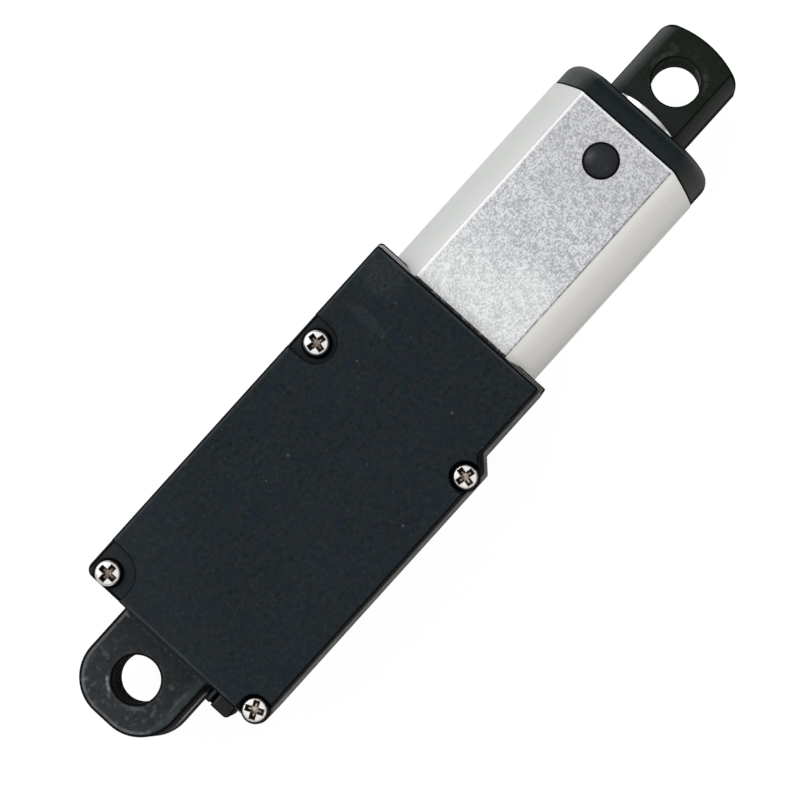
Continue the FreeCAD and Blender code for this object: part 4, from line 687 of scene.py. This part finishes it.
def studio():
    """A bright ceiling over a dimmer room, pale at the horizon; plain white where the camera sees it."""
    world = bpy.data.worlds.new("studio")
    bpy.context.scene.world = world
    world.use_nodes = True
    nt = world.node_tree
    nt.nodes.clear()
    out = nt.nodes.new("ShaderNodeOutputWorld")
    tc = nt.nodes.new("ShaderNodeTexCoord")
    sep = nt.nodes.new("ShaderNodeSeparateXYZ")
    nt.links.new(tc.outputs["Generated"], sep.inputs[0])

    def ramp(a, b, lo, hi):
        n = nt.nodes.new("ShaderNodeMapRange")
        n.interpolation_type = "SMOOTHSTEP"
        for key, v in (("From Min", a), ("From Max", b), ("To Min", lo), ("To Max", hi)):
            n.inputs[key].default_value = v
        nt.links.new(sep.outputs[2], n.inputs["Value"])
        return n.outputs[0]

    total = nt.nodes.new("ShaderNodeMath")
    total.operation = "ADD"
    nt.links.new(ramp(0.55, 0.95, ROOM, CEILING), total.inputs[0])
    nt.links.new(ramp(0.30, 0.0, 0.0, HORIZON), total.inputs[1])
    room = nt.nodes.new("ShaderNodeBackground")
    room.inputs["Color"].default_value = (1, 1, 1, 1)
    nt.links.new(total.outputs[0], room.inputs["Strength"])
    white = nt.nodes.new("ShaderNodeBackground")
    white.inputs["Color"].default_value = (1, 1, 1, 1)
    white.inputs["Strength"].default_value = 1.0
    path = nt.nodes.new("ShaderNodeLightPath")
    mix = nt.nodes.new("ShaderNodeMixShader")
    nt.links.new(path.outputs["Is Camera Ray"], mix.inputs[0])
    nt.links.new(room.outputs[0], mix.inputs[1])
    nt.links.new(white.outputs[0], mix.inputs[2])
    nt.links.new(mix.outputs[0], out.inputs[0])


ROOM, CEILING, HORIZON = 0.40, 0.90, 0.24
studio()


def softbox(name, at, size, power, color=(1, 1, 1)):
    data = bpy.data.lights.new(name, "AREA")
    data.shape = "RECTANGLE"
    data.size, data.size_y = size
    data.energy = power
    data.color = color
    obj = bpy.data.objects.new(name, data)
    obj.location = at
    target = Vector((0.03, 0.0, 0.0))
    obj.rotation_mode = "QUATERNION"
    obj.rotation_quaternion = (target - Vector(at)).to_track_quat("-Z", "Y")
    bpy.context.scene.collection.objects.link(obj)


softbox("key", (-0.05, 0.45, 0.42), (0.5, 0.4), 1.6, (1.0, 1.0, 1.0))
softbox("fill", (0.10, -0.60, 0.20), (0.5, 0.25), 0.35, (1.0, 0.985, 0.96))

cam_data = bpy.data.cameras.new("camera")
cam_data.sensor_width = 36.0
cam_data.sensor_fit = "HORIZONTAL"
cam_data.lens = 147.7447
cam_data.clip_start, cam_data.clip_end = 0.01, 10.0
cam = bpy.data.objects.new("camera", cam_data)
bpy.context.scene.collection.objects.link(cam)
right = Vector((0.6701202, -0.7397506, -0.0609203))
up = Vector((0.7421969, 0.6688321, 0.0425512))
back = Vector((0.0092682, -0.0737291, 0.99723524))
rot = Matrix((right, up, back)).transposed()
cam.matrix_world = Matrix.Translation((0.0335172, -0.0202085, 0.2671025)) @ rot.to_4x4()
bpy.context.scene.camera = cam

view = bpy.context.scene.view_settings
view.view_transform = "Standard"
view.look = "None"
view.exposure = 0.0
view.gamma = 1.0
